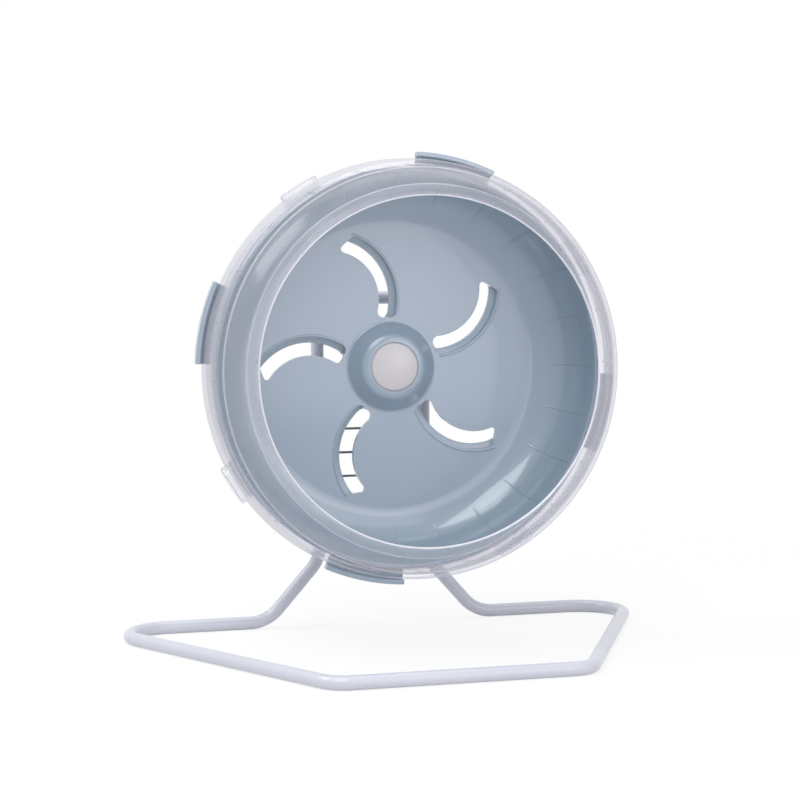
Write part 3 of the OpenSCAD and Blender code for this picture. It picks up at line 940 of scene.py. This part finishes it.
@dataclass
class SlotShape:
    """A curved slab about the centre of a slot's curve, with a round inner end."""

    inner: float
    outer: float
    start: float = -13.0
    reach: float = 55.2 * MM
    corner: float = 1.5 * MM
    centre_r: float = 40.6 * MM
    centre_way: float = 131.4

    def slab(self, name: str, floor: Callable[[float], float], top: Callable[[float], float],
             columns: int = 14, rows: int = 44) -> Piece:
        """Makes the slab.

        Args:
            name: Name of the new object.
            floor: Depth of the underside at a share of the width, from the inner curve out.
            top: Depth of the upper side at a share of the width.
            columns: Number of strips across the slab.
            rows: Number of steps along the slab.

        Returns:
            The new object, in the wheel's own axes.
        """
        centre = direction(self.centre_way) * self.centre_r
        half = (self.outer - self.inner) / 2
        middle = (self.outer + self.inner) / 2
        shares = [(1 - math.cos(math.pi * c / columns)) / 2 for c in range(columns + 1)]
        strips = []
        for share in shares:
            radius = self.inner + (self.outer - self.inner) * share
            aside = min(abs(radius - middle), half)
            first = math.radians(self.start) - math.sqrt(half * half - aside * aside) / radius
            last = self._last(radius) - self._corner(half - aside, radius < middle) / radius
            strips.append([(centre + Vector((math.cos(a), math.sin(a))) * radius)
                           for a in (first + (last - first) * r / rows for r in range(rows + 1))])
        size = (columns + 1) * (rows + 1)
        points = [(p.x, p.y, floor(s)) for s, strip in zip(shares, strips) for p in strip]
        points += [(p.x, p.y, top(s)) for s, strip in zip(shares, strips) for p in strip]
        faces = []
        for c in range(columns):
            for r in range(rows):
                a = c * (rows + 1) + r
                b = a + rows + 1
                faces.append((a, a + 1, b + 1, b))
                faces.append((size + a, size + b, size + b + 1, size + a + 1))
        rim = list(range(rows + 1))
        rim += [c * (rows + 1) + rows for c in range(1, columns + 1)]
        rim += [columns * (rows + 1) + r for r in range(rows - 1, -1, -1)]
        rim += [c * (rows + 1) for c in range(columns - 1, 0, -1)]
        for a, b in zip(rim, rim[1:] + rim[:1]):
            faces.append((a, b, size + b, size + a))
        return solid(name, points, faces)

    def _turn(self, radius: float) -> float:
        """Returns the turn from the centre's direction to where a curve meets the end's edge."""
        return math.acos((self.reach - self.centre_r) / radius)

    def _last(self, radius: float) -> float:
        """Returns the angle at which a curve of the slot meets the straight edge that ends it."""
        return math.radians(self.centre_way) - self._turn(radius)

    def _corner(self, inset: float, inner: bool) -> float:
        """Works out how the round outer end draws back.

        Args:
            inset: Distance from the slot's side.
            inner: Whether that side is the inner curve.

        Returns:
            How far the end draws back there.
        """
        tip = self._turn(self.inner) if inner else math.pi - self._turn(self.outer)
        run = self.corner / math.tan(tip / 2)
        if inset >= run * math.sin(tip):
            return 0.0
        rise = math.sqrt(max(0.0, self.corner ** 2 - (self.corner - inset) ** 2))
        return run - rise - inset / math.tan(tip)


HOLE = SlotShape(21.6 * MM, 27.3 * MM)
BAND = SlotShape(25.5 * MM, 30.0 * MM)
BEAD = SlotShape(30.0 * MM, 31.1 * MM, reach=56.2 * MM, corner=0.5 * MM)
BACK = SlotShape(26.0 * MM, 31.3 * MM, reach=56.5 * MM, corner=2.0 * MM)


@dataclass
class Drum:
    """The drum: a disc with slots, a round corner, a wall, a hub, ribs, hook tabs and catches."""

    axle: Axle
    radius: float = 87.6 * MM
    depth: float = 33.5 * MM
    plate: float = 2.5 * MM
    wall: float = 2.0 * MM
    fillet: float = 22.0 * MM
    seat: float = 11.01 * MM
    shoulder: float = 9.31 * MM
    boss_base: float = 20.1 * MM
    boss_top: float = 13.61 * MM
    boss_height: float = 7.0 * MM
    boss_edge: float = 5.4 * MM
    boss_foot: float = 2.0 * MM
    sleeve: float = 15.01 * MM
    sleeve_back: float = -23.4 * MM
    front_seat: float = -10.9 * MM
    rear_seat: float = -15.9 * MM
    slots: int = 5
    ledge_front: float = -3.0 * MM
    ledge_back: float = -4.9 * MM
    ledge_fall: float = 0.6 * MM
    gusset: float = 2.0 * MM
    latches: int = 4
    tab_way: float = 76.7
    tab_span: float = 22.0
    catch_span: float = 11.5
    clip_offset: float = 45.0

    def section(self) -> list[Vector]:
        """Draws the section of the drum.

        Returns:
            Its closed outline, as radius and depth.
        """
        inside = self.radius - self.wall
        return rounded([
            (self.seat, self.boss_height, 0.25 * MM),
            (self.boss_top, self.boss_height, self.boss_edge),
            (self.boss_base, 0, self.boss_foot),
            (inside, 0, self.fillet),
            (inside, self.depth, 0.6 * MM),
            (self.radius, self.depth, 0.6 * MM),
            (self.radius, -self.plate, self.fillet + self.wall),
            (self.sleeve, -self.plate, 1.6 * MM),
            (self.sleeve, self.sleeve_back, 0.6 * MM),
            (self.seat, self.sleeve_back, 0.3 * MM),
            (self.seat, self.rear_seat, 0),
            (self.shoulder, self.rear_seat, 0.25 * MM),
            (self.shoulder, self.front_seat, 0.25 * MM),
            (self.seat, self.front_seat, 0),
        ], step=4)

    def ribs(self) -> list[Piece]:
        """Makes the grip ribs inside the wall.

        Returns:
            The ribs.
        """
        inside = self.radius - self.wall
        centre = Vector((inside - self.fillet, self.fillet))
        line = [centre + direction(a) * self.fillet for a in range(-62, 1, 2)]
        line += [Vector((inside, self.fillet + (self.depth - 0.2 * MM - self.fillet) * k / 8))
                 for k in range(1, 9)]
        line.reverse()
        return GripRib(width=1.0 * MM, height=0.25 * MM, taper=6.0 * MM).along(line)

    def beads(self) -> list[Piece]:
        """Makes the raised beads along the slots.

        Returns:
            The beads.
        """
        return all_round(self.slots, lambda: BEAD.slab(
            "bead", lambda s: -self.plate / 2,
            lambda s: 0.06 * MM + 0.34 * MM * math.sqrt(max(0.0, 1 - (2 * s - 1) ** 2)), 8))

    def holes(self) -> list[Piece]:
        """Returns the cutters of the slots."""
        return all_round(self.slots, lambda: HOLE.slab(
            "hole", lambda s: self.ledge_back - 1 * MM, lambda s: self.plate))

    def backs(self) -> list[Piece]:
        """Returns the walls behind the disc that carry the sunk ledges."""
        return all_round(self.slots, lambda: BACK.slab(
            "back", lambda s: self.ledge_back, lambda s: -self.plate / 2))

    def bands(self) -> list[Piece]:
        """Makes the cutters of the hollows over the sunk ledges beside the slots.

        Returns:
            The cutters.
        """
        hole = (HOLE.outer - BAND.inner) / (BAND.outer - BAND.inner)

        def ledge(share: float) -> float:
            """Returns the depth of the ledge, which falls away towards the slot."""
            return self.ledge_front - self.ledge_fall * min(1.0, (1 - share) / (1 - hole)) ** 2
        return all_round(self.slots, lambda: BAND.slab("band", ledge, lambda s: self.plate))

    def gussets(self) -> list[Piece]:
        """Makes the gussets between the sleeve and the back of the disc.

        Returns:
            The gussets.
        """
        sink = 1.2 * MM
        rise = -0.8 * (-self.plate - self.sleeve_back)
        outline = rounded([
            (self.sleeve - sink, -self.plate + sink, 0),
            (self.sleeve + 5.5 * MM, -self.plate + sink, 0),
            (self.sleeve + 5.5 * MM, -self.plate - 0.3 * MM, 0.5 * MM),
            (self.sleeve + 0.6 * MM, -self.plate + rise, 1.5 * MM),
            (self.sleeve - sink, -self.plate + rise, 0)])
        return [turned(prism("gusset", outline, -self.gusset / 2, self.gusset / 2),
                       about_axle(360 * i / self.slots) @ UPRIGHT) for i in range(self.slots)]

    def tabs(self) -> list[Piece]:
        """Makes the hook tabs, each a flange and a strip that stands over the ring.

        Returns:
            The tabs.
        """
        section = rounded_mm([(86.6, 29.4, 0), (94.3, 29.4, 0.7), (94.3, 34.4, 0.6),
                              (92.1, 34.4, 0.6), (92.1, 31.4, 0.3), (86.6, 31.4, 0)], 15)
        made = []
        for i in range(self.latches):
            start = self.tab_way - self.tab_span / 2 + 360 * i / self.latches
            tab = revolve("tab", section, 360, start, self.tab_span)
            ease_edges(tab, 0.5 * MM, 60, 3)
            made.append(tab)
        return made

    def catches(self) -> list[Piece]:
        """Makes the catches that the ring's clips snap over.

        Returns:
            The catches.
        """
        section = rounded_mm([(86.6, 27.2, 0), (88.5, 27.2, 0.4), (89.0, 28.0, 0.4),
                              (88.6, 29.2, 0.4), (86.6, 29.2, 0)], 20)
        start = self.tab_way - self.clip_offset - self.catch_span / 2
        return [revolve("catch", section, 360, start + 360 * i / self.latches, self.catch_span)
                for i in range(self.latches)]

    def build(self) -> Piece:
        """Builds the drum.

        Returns:
            The drum, in its place.
        """
        drum = revolve("drum_shell", self.section())
        additions = (self.ribs() + self.beads() + self.gussets() + self.tabs() + self.catches()
                     + self.backs())
        work_in(drum, joined("additions", additions), Joining.ADD)
        work_in(drum, joined("holes", self.holes()), Joining.CUT)
        work_in(drum, joined("bands", self.bands()), Joining.CUT)
        ease_edges(drum, 0.2 * MM, 50, 2,
                   lambda p: self.boss_base + 1 * MM < p.xy.length < 62 * MM
                   and self.ledge_back - 0.1 * MM < p.z < -0.1 * MM)
        return mount(drum, self.axle, DRUM, Body.WHEEL, "drum")


# The clear front ring

@dataclass
class ClearRing:
    """The clear ring: a skirt over the drum's rim, a side wall, a shoulder and a rolled edge."""

    axle: Axle
    back_r: float = 91.4 * MM
    front_r: float = 89.6 * MM
    wall: float = 2.0 * MM
    back: float = 31.6 * MM
    rim: float = 33.5 * MM
    side_end: float = 50.0 * MM
    front: float = 70.0 * MM
    corner: float = 3.2 * MM
    bulge: float = 1.6 * MM
    opening: float = 73.5 * MM
    band: float = 4.6 * MM
    band_rise: float = 0.4 * MM
    ledge: float = 1.5 * MM
    latches: int = 4
    clip_way: float = 31.7
    clip_width: float = 17.6 * MM
    clip_length: float = 9.5 * MM
    clip_back: float = 26.6 * MM
    clip_frame: float = 1.4 * MM
    plate_span: float = 18.0
    nose_span: float = 10.4

    def middle(self) -> list[Vector]:
        """Draws the middle line of the wall, from the skirt to the lip.

        Returns:
            Its points, as radius and depth.
        """
        half = self.wall / 2
        bend = self.corner - half
        centre = Vector((self.front_r - self.corner, self.side_end))
        line = [Vector((self.back_r - half, self.back)),
                Vector((self.back_r - half, self.back)).lerp(centre + Vector((bend, 0)), 0.5)]
        line += [centre + direction(a) * bend for a in range(0, 91, 10)]
        lip = Vector((self.opening + half, self.front - half))
        return line + bow(centre + Vector((0, bend)), lip, self.bulge, 64)[1:]

    def section(self) -> list[Vector]:
        """Draws the section of the ring.

        Returns:
            Its closed outline, as radius and depth.
        """
        half = self.wall / 2
        line = self.middle()
        sides = normals(line)
        outer = [p + n * (half + self._proud(p, line[-1])) for p, n in zip(line, sides)]
        inner = [p - n * half for p, n in zip(line, sides)]
        way = math.degrees(math.atan2(sides[-1].y, sides[-1].x))
        lip = [line[-1] + direction(way + a) * half for a in range(15, 180, 15)]
        seat = [Vector(mm(*c)) for c in ((86.15, 35.0), (86.0, 34.85), (86.0, 33.65), (86.15, 33.5),
                                         (88.0, 33.5), (88.0, 31.8), (88.2, 31.6))]
        inner.reverse()
        low = Vector((inner[-1].x - (inner[-1].x - inner[-3].x) * 0.14, self.rim + self.ledge))
        skirt = [Vector((self.back_r - 0.25 * MM, self.back)),
                 Vector((self.back_r, self.back + 0.25 * MM))]
        return skirt + outer[1:] + lip + inner[:-1] + [low] + seat

    def _proud(self, point: Vector, lip: Vector) -> float:
        """Works out how far the band along the lip stands over the shoulder.

        Args:
            point: A point of the middle line.
            lip: The last point of that line.

        Returns:
            The rise at that point.
        """
        away = (point - lip).length
        into = (self.band - away) / (0.3 * MM)
        return self.band_rise * max(0.0, min(1.0, into)) * min(1.0, away / (0.8 * MM))

    def ribs(self) -> list[Piece]:
        """Makes the grip ribs inside the side wall.

        Returns:
            The ribs.
        """
        half = self.wall / 2
        line = self.middle()[:6]
        start = self.rim + self.ledge - 0.2 * MM
        inner = [p - n * half for p, n in zip(line, normals(line))]
        first = inner[0].lerp(inner[1], (start - inner[0].y) / (inner[1].y - inner[0].y))
        path = [first + (inner[1] - first) * k / 6 for k in range(6)]
        path += [inner[1] + (inner[2] - inner[1]) * k / 6 for k in range(6)] + inner[2:4]
        path.reverse()
        return GripRib(taper=1.2 * MM, offset=1.2).along(path)

    def clip(self) -> Piece:
        """Makes one clip in the direction of the x axis.

        Returns:
            The clip.
        """
        half_len = self.clip_length / 2
        run = self.clip_width / 2 - half_len
        stand_up = Matrix.Translation((0, 0, self.clip_back + half_len)) @ OUTWARD
        blank = prism("clip", box(half_len, run + half_len, half_len * 0.98, 10), 84 * MM, 96 * MM)
        turned(blank, stand_up)
        plate = revolve("plate", rounded_mm([
            (91.7, 26.6, 0.4), (93.3, 26.6, 0.5), (93.3, 36.1, 0.7), (90.4, 36.1, 0),
            (90.4, 31.6, 0), (91.7, 31.6, 0)], 20), 720, -self.plate_span / 2, self.plate_span)
        nose = revolve("nose", rounded_mm([
            (88.1, 26.6, 0.3), (92.8, 26.6, 0.3), (92.8, 28.2, 0), (91.7, 28.2, 0.2),
            (88.1, 28.2, 0.4)], 20), 720, -self.nose_span / 2, self.nose_span)
        combine(blank, plate, Joining.COMMON)
        panel = prism("panel", box(half_len - self.clip_frame, run + half_len - self.clip_frame,
                                   3.2 * MM, 10), 92.65 * MM, 96 * MM)
        turned(panel, stand_up)
        work_in(blank, panel, Joining.CUT)
        work_in(blank, nose, Joining.ADD)
        return blank

    def build(self) -> Piece:
        """Builds the clear ring.

        Returns:
            The ring, in its place.
        """
        ring = revolve("front_ring", self.section())
        clips = all_round(self.latches, self.clip, self.clip_way)
        work_in(ring, joined("ring_additions", self.ribs() + clips), Joining.ADD)
        return mount(ring, self.axle, CLEAR, Body.WHEEL, "clear_ring")


# The hub cap

@dataclass
class HubCap:
    """The domed cap over the lock nut, with a skirt that fits the hub."""

    axle: Axle
    radius: float = 10.71 * MM
    skirt: float = 10.96 * MM
    seat: float = 7.0 * MM
    edge: float = 7.2 * MM
    dome: float = 9.1 * MM
    wall: float = 1.1 * MM
    length: float = 5.0 * MM
    rings: int = 22

    def build(self) -> Piece:
        """Builds the cap.

        Returns:
            The cap, in its place.
        """
        back = self.seat - self.length
        rise = self.dome - self.edge
        ball = (self.radius ** 2 + rise ** 2) / (2 * rise)
        top = [Vector((x, self.dome - ball + math.sqrt(ball ** 2 - x ** 2)))
               for x in (self.radius * k / self.rings for k in range(self.rings))]
        rim = rounded([(top[-1].x, top[-1].y, 0), (self.radius, self.edge, 0.9 * MM),
                       (self.radius, self.seat - 0.3 * MM, 0.1 * MM),
                       (self.skirt, self.seat - 0.3 * MM, 0.1 * MM),
                       (self.skirt, back, 0.25 * MM), (self.radius - self.wall, back, 0.2 * MM),
                       (self.radius - self.wall, self.edge - self.wall, 0.5 * MM),
                       (0, self.dome - self.wall, 0)], closed=False)
        cap = lathe("cap_dome", top + rim[1:], 144)
        return mount(cap, self.axle, CAP, Body.WHEEL, "hub_cap", 40)


# The stand

WIRE_WELD = Vector((1.5, 0.75, 1.15)) * MM
STRAP_WELD = Vector((2.6, 1.1, 1.5)) * MM


@dataclass
class Stand:
    """The bent rod, the cross wires and the strap, with their welds."""

    axle: Axle
    rod: float = 3.0 * MM
    depth: float = 155.0 * MM
    back_width: float = 259.6 * MM
    front_width: float = 107.6 * MM
    feet: float = 101.8 * MM
    uprights: float = 51.2 * MM
    knee: float = 31.5 * MM
    arch: float = 31.0 * MM
    wire: float = 0.6 * MM
    wire_count: int = 3
    wire_drop: float = 30.0 * MM
    wire_pitch: float = 11.1 * MM
    wire_reach: float = 2.4 * MM
    strap_back: float = -33.9 * MM
    strap_thick: float = 3.0 * MM
    strap_height: float = 8.0 * MM
    strap_drop: float = 5.0 * MM
    eye: float = 11.0 * MM
    bore: float = 4.03 * MM

    @property
    def rear(self) -> float:
        """How far back the middle of the rear rods lies."""
        return self.depth / 2 - self.rod

    def path(self) -> list[Vector]:
        """Draws the middle line of the rod once round the stand.

        Returns:
            Its points.
        """
        half = [(self.front_width / 2, -self.rear, self.rod, 12),
                (self.back_width / 2, self.rear, self.rod, 20),
                (self.feet / 2, self.rear, self.rod, 18),
                (self.uprights / 2, self.rear, self.knee, 15),
                (self.uprights / 2, self.rear, self.axle.height + self.arch, 13)]
        corners = [(Vector(c[:3]), c[3] * MM) for c in half]
        corners += [(Vector((-c[0], c[1], c[2])), c[3] * MM) for c in reversed(half)]
        line: list[Vector] = []
        for i, (here, radius) in enumerate(corners):
            before, after = corners[i - 1][0], corners[(i + 1) % len(corners)][0]
            centre, start, turn = round_corner(before, here, after, radius)
            axis = start.cross(here - before).normalized()
            pieces = max(6, math.ceil(math.degrees(turn) / 3))
            bend = [centre + Matrix.Rotation(turn * k / pieces, 3, axis) @ start
                    for k in range(pieces + 1)]
            if line:
                line += self._straight(line[-1], bend[0])
            line += bend
        return line + self._straight(line[-1], line[0])

    @staticmethod
    def _straight(start: Vector, end: Vector) -> list[Vector]:
        """Returns points between two ends, about every eight millimetres."""
        pieces = max(2, round((end - start).length / (8 * MM)))
        return [start.lerp(end, k / pieces) for k in range(1, pieces)]

    @staticmethod
    def tube(name: str, line: Sequence[Vector], radius: Callable[[int], float], closed: bool,
             sides: int = 36) -> Piece:
        """Sweeps a round section along a line.

        Args:
            name: Name of the new object.
            line: Points of the middle line.
            radius: Radius of the section at the point of each number.
            closed: Whether the line closes on itself.
            sides: Number of flats round the section.

        Returns:
            The new object.
        """
        count = len(line)
        tangents = []
        for i in range(count):
            before = line[i - 1] if closed or i else line[0]
            after = line[(i + 1) % count] if closed or i < count - 1 else line[-1]
            tangents.append((after - before).normalized())
        side = tangents[0].orthogonal().normalized()
        sides_at = []
        for i, along in enumerate(tangents):
            if i:
                side = tangents[i - 1].rotation_difference(along) @ side
                side = (side - along * side.dot(along)).normalized()
            sides_at.append(side.copy())
        slip = 0.0
        if closed:
            last = tangents[-1].rotation_difference(tangents[0]) @ sides_at[-1]
            slip = math.atan2(last.cross(sides_at[0]).dot(tangents[0]), last.dot(sides_at[0]))
        rings = []
        for i, (point, along, across) in enumerate(zip(line, tangents, sides_at)):
            turn = Matrix.Rotation(slip * i / count, 3, along)
            first = turn @ across
            second = along.cross(first)
            size = radius(i)
            rings.append([point + (first * math.cos(a) + second * math.sin(a)) * size
                          for a in (FULL_TURN * k / sides for k in range(sides))])
        return loft(name, rings, closed)

    def frame(self) -> Piece:
        """Builds the bent rod.

        Returns:
            The rod, in its place.
        """
        rod = self.tube("stand_rod", self.path(), lambda i: self.rod, True, 40)
        rod.data.shade_smooth()
        return hang(rod, ENAMEL, Body.STAND, "stand_frame")

    def wires(self) -> Piece:
        """Builds the cross wires, with a weld at each upright.

        Returns:
            The wires, as one piece.
        """
        reach = self.uprights / 2 + self.wire_reach
        y = self.rear - self.rod - self.wire
        pieces = []
        count = 28
        ends = (0.55, 0.85, 1.0)
        for i in range(self.wire_count):
            z = self.axle.height - self.wire_drop - i * self.wire_pitch
            line = [Vector((-reach + 2 * reach * k / count, y, z)) for k in range(count + 1)]
            pieces.append(self.tube("wire", line, lambda k: self.wire * ends[min(k, count - k, 2)],
                                    False, 20))
            for side in (-1, 1):
                middle = Vector((side * self.uprights / 2, y + 0.45 * MM, z))
                pieces.append(self.nugget(middle, WIRE_WELD))
        wires = pieces[0]
        for piece in pieces[1:]:
            work_in(wires, piece, Joining.ADD)
        wires.name = "tie_wires"
        smooth(wires, 50)
        return hang(wires, WIRE, Body.STAND, "cross_wires")

    @staticmethod
    def nugget(centre: Vector, size: Vector) -> Piece:
        """Makes a blob of weld metal.

        Args:
            centre: Its middle.
            size: Its half sizes.

        Returns:
            The blob.
        """
        mesh = bpy.data.meshes.new("weld")
        with worked(mesh) as work:
            bmesh.ops.create_icosphere(work, subdivisions=3, radius=1.0)
            for v in work.verts:
                swell = 1 + 0.06 * math.sin(7 * v.co.x + 3 * v.co.z) + 0.05 * math.cos(9 * v.co.y)
                v.co = Vector((v.co.x * size.x, v.co.y * size.y, v.co.z * size.z)) * swell + centre
        return placed("weld", mesh)

    def strap(self) -> Piece:
        """Builds the strap, with its round eye and its welds to the uprights.

        Returns:
            The strap, in its place.
        """
        half = self.uprights / 2 + self.rod
        top, low = self.strap_height / 2 - self.strap_drop, -self.strap_height / 2 - self.strap_drop
        ends = [math.degrees(math.asin(z / self.eye)) for z in (top, low)]
        eye = [direction(ends[0] + (180 - 2 * ends[0]) * k / 30) * self.eye for k in range(31)]
        right = rounded([(self.eye * math.cos(math.radians(ends[1])), low, 0),
                         (half, low, 1.5 * MM), (half, top, 1.5 * MM), (eye[0].x, top, 0)],
                        closed=False)
        left = [Vector((-p.x, p.y)) for p in reversed(right)]
        under = [direction(180 - ends[1] + (180 + 2 * ends[1]) * k / 12) * self.eye
                 for k in range(13)]
        outline = right[1:-1] + eye + left[1:-1] + under
        strap = prism("axle_plate", outline, self.strap_back, self.strap_back + self.strap_thick)
        bore = prism("bore", [direction(7.5 * k) * self.bore for k in range(48)],
                     self.strap_back - 1 * MM, self.strap_back + self.strap_thick + 1 * MM)
        work_in(strap, bore, Joining.CUT)
        ease_edges(strap, 0.4 * MM, 40, 3)
        for side in (-1, 1):
            for level in (top, low):
                middle = Vector((side * self.uprights / 2, level, self.strap_back + 0.3 * MM))
                work_in(strap, self.nugget(middle, STRAP_WELD), Joining.ADD)
        return mount(strap, self.axle, ENAMEL, Body.STAND, "axle_strap", 40)


@dataclass
class AxleSet:
    """The bolt and the long spacer that show behind the hub."""

    axle: Axle
    bolt: float = 4.0 * MM
    head_flats: float = 13.0 * MM
    head_back: float = -39.2 * MM
    head_front: float = -33.9 * MM
    bolt_front: float = 6.5 * MM
    spacer: float = 6.0 * MM
    spacer_back: float = -30.9 * MM
    spacer_front: float = -22.9 * MM
    bore: float = 4.03 * MM

    def head(self) -> Piece:
        """Builds the bolt, with its chamfered hexagon head and its chamfered end.

        Returns:
            The bolt, in its place.
        """
        reach = self.head_flats / math.sqrt(3)
        hexagon = [direction(60 * k) * reach for k in range(6)]
        bolt = prism("bolt", hexagon, self.head_back, self.head_front)
        crown = peg("crown", [(self.head_flats * 0.475, self.head_back - 0.01 * MM, 0),
                              (reach + 0.4 * MM, self.head_back + 1.1 * MM, 0),
                              (reach + 0.4 * MM, self.head_front + 1 * MM, 0)], 96)
        combine(bolt, crown, Joining.COMMON)
        shank = peg("shank", [(self.bolt, self.head_back + 1 * MM, 0),
                              (self.bolt, self.bolt_front, 0.6 * MM)], 64)
        work_in(bolt, shank, Joining.ADD)
        dish = peg("dish", [(3.6 * MM, self.head_back - 1 * MM, 0),
                            (3.2 * MM, self.head_back + 0.35 * MM, 0.3 * MM)], 48)
        work_in(bolt, dish, Joining.CUT)
        ease_edges(bolt, 0.2 * MM, 30, 2)
        bolt.name = "carriage_bolt"
        return mount(bolt, self.axle, ZINC, Body.STAND, "axle_bolt", 35)

    def sleeve(self) -> Piece:
        """Builds the spacer between the strap and the rear bearing.

        Returns:
            The spacer, in its place.
        """
        section = rounded([
            (self.bore, self.spacer_back, 0.25 * MM), (self.spacer, self.spacer_back, 0.35 * MM),
            (self.spacer, self.spacer_front, 0.35 * MM),
            (self.bore, self.spacer_front, 0.25 * MM)], step=20)
        spacer = revolve("long_spacer", section, 96)
        return mount(spacer, self.axle, SPACER, Body.STAND, "axle_spacer", 40)


def dress_inner_parts() -> None:
    """Gives the pieces that stay as they are their finishes."""
    finishes = {f.slot: f for f in FINISHES}
    slots = {row["node"]: row["material_slot"] for row in frame["record"]["subparts"]}
    for name, node in frame["nodes"].items():
        if node.hide_render:
            continue
        finishes[slots[name]].dress(node)
        LOG.info("%s: finish %s", name, slots[name])


# The studio

@dataclass
class Studio:
    """A pale floor, soft lamps, a white surround and the camera."""

    ground: float = 0.0
    shadow_near: float = 0.12
    shadow_far: float = 0.6
    whitened: float = 0.82
    lens: float = 87.26
    eye: Triple = (-0.22524, -0.80873, 0.15620)
    heading: float = 15.17
    dip: float = 3.18
    roll: float = -0.47
    look: Triple = (0.0, 0.0, 0.1)

    def camera(self) -> None:
        """Makes the camera, which looks at the wheel from the front and a little to its left."""
        data = bpy.data.cameras.new("view")
        data.lens = self.lens
        data.sensor_width = 36.0
        data.clip_start = 0.02
        data.clip_end = 50.0
        made = placed("view", data)
        a, e = math.radians(self.heading), math.radians(-self.dip)
        forward = Vector((math.sin(a) * math.cos(e), math.cos(a) * math.cos(e), math.sin(e)))
        upright = forward.to_track_quat("-Z", "Y").to_matrix().to_4x4()
        made.matrix_world = (Matrix.Translation(self.eye) @ upright
                             @ Matrix.Rotation(math.radians(self.roll), 4, "Z"))
        bpy.context.scene.camera = made

    def lamp(self, name: str, place: Triple, size: float, power: float,
             tint: Triple = (1.0, 1.0, 1.0)) -> None:
        """Hangs a square soft lamp that faces the wheel.

        Args:
            name: Name of the lamp.
            place: Where it hangs.
            size: Length of its sides.
            power: Its power in watts.
            tint: Its colour.
        """
        data = bpy.data.lights.new(name, "AREA")
        data.size = size
        data.energy = power
        data.color = tint
        made = placed(name, data)
        made.location = place
        toward = Vector(self.look) - Vector(place)
        made.rotation_mode = "QUATERNION"
        made.rotation_quaternion = toward.to_track_quat("-Z", "Y")

    @staticmethod
    def seen(sheet: Sheet) -> Wire:
        """Tells which rays show the surround: straight, mirrored or let through.

        Args:
            sheet: The sheet that asks.

        Returns:
            One for those rays, and zero for the others.
        """
        rays = [sheet.node("ShaderNodeLightPath", {}, {}, name)
                for name in ("Is Camera Ray", "Is Glossy Ray", "Is Transmission Ray")]
        return (rays[0] + rays[1] + rays[2]).clamped()

    def floor(self) -> None:
        """Lays the floor, which is white to the eye and keeps a soft shadow."""
        size = 6.0
        corners = [(-size, -size, self.ground), (size, -size, self.ground),
                   (size, size, self.ground), (-size, size, self.ground)]
        mesh = bpy.data.meshes.new("floor")
        mesh.from_pydata(corners, [], [(0, 1, 2, 3)])
        made = placed("floor", mesh)
        material = bpy.data.materials.new("floor")
        material.use_nodes = True
        sheet = Sheet(material.node_tree)
        away = sheet.vector("LENGTH", "Value", sheet.stretched((1, 1, 0)))
        far = sheet.band(away, self.shadow_near, self.shadow_far, self.whitened, 1.0)
        paper = sheet.node("ShaderNodeBsdfDiffuse", {}, {"Color": (0.86, 0.86, 0.87, 1)})
        glow = sheet.node("ShaderNodeEmission", {}, {"Color": (1, 1, 1, 1), "Strength": 1.0})
        sheet.finish(sheet.mixed(self.seen(sheet) * far, paper, glow))
        mesh.materials.append(material)

    def surround(self) -> None:
        """Lights the room softly from all round and shows it white."""
        world = bpy.data.worlds.new("room")
        bpy.context.scene.world = world
        world.use_nodes = True
        sheet = Sheet(world.node_tree)
        soft = sheet.node("ShaderNodeBackground", {}, {
            "Color": (0.95, 0.96, 1.0, 1), "Strength": 0.52})
        white = sheet.node("ShaderNodeBackground", {}, {"Color": (1, 1, 1, 1), "Strength": 1.0})
        sheet.finish(sheet.mixed(self.seen(sheet), soft, white), "ShaderNodeOutputWorld")

    def build(self) -> None:
        """Sets up the whole studio."""
        self.floor()
        self.surround()
        self.lamp("key", (0.8, -1.35, 0.75), 1.1, 4.6, (1.0, 0.99, 0.98))
        self.lamp("box", (0.5, -1.45, 0.02), 1.0, 4.8, (1.0, 0.87, 0.98))
        self.lamp("front top", (-0.45, -0.75, 1.15), 0.8, 9.0, (0.97, 1.0, 1.0))
        self.lamp("top", (0.1, 0.2, 1.5), 1.0, 5.0)
        self.lamp("left", (-0.9, 0.25, 1.1), 0.6, 6.5, (0.98, 0.99, 1.0))
        self.camera()
        bpy.context.scene.view_settings.view_transform = "Standard"


def main() -> None:
    """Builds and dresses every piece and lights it."""
    logging.basicConfig(level=logging.INFO, format="%(message)s")
    axle = axle_from_frame()
    stand = Stand(axle)
    stand.frame()
    stand.wires()
    stand.strap()
    spindle = AxleSet(axle)
    spindle.head()
    spindle.sleeve()
    Drum(axle).build()
    ClearRing(axle).build()
    HubCap(axle).build()
    dress_inner_parts()
    Studio().build()


if __name__ == "__main__":
    main()
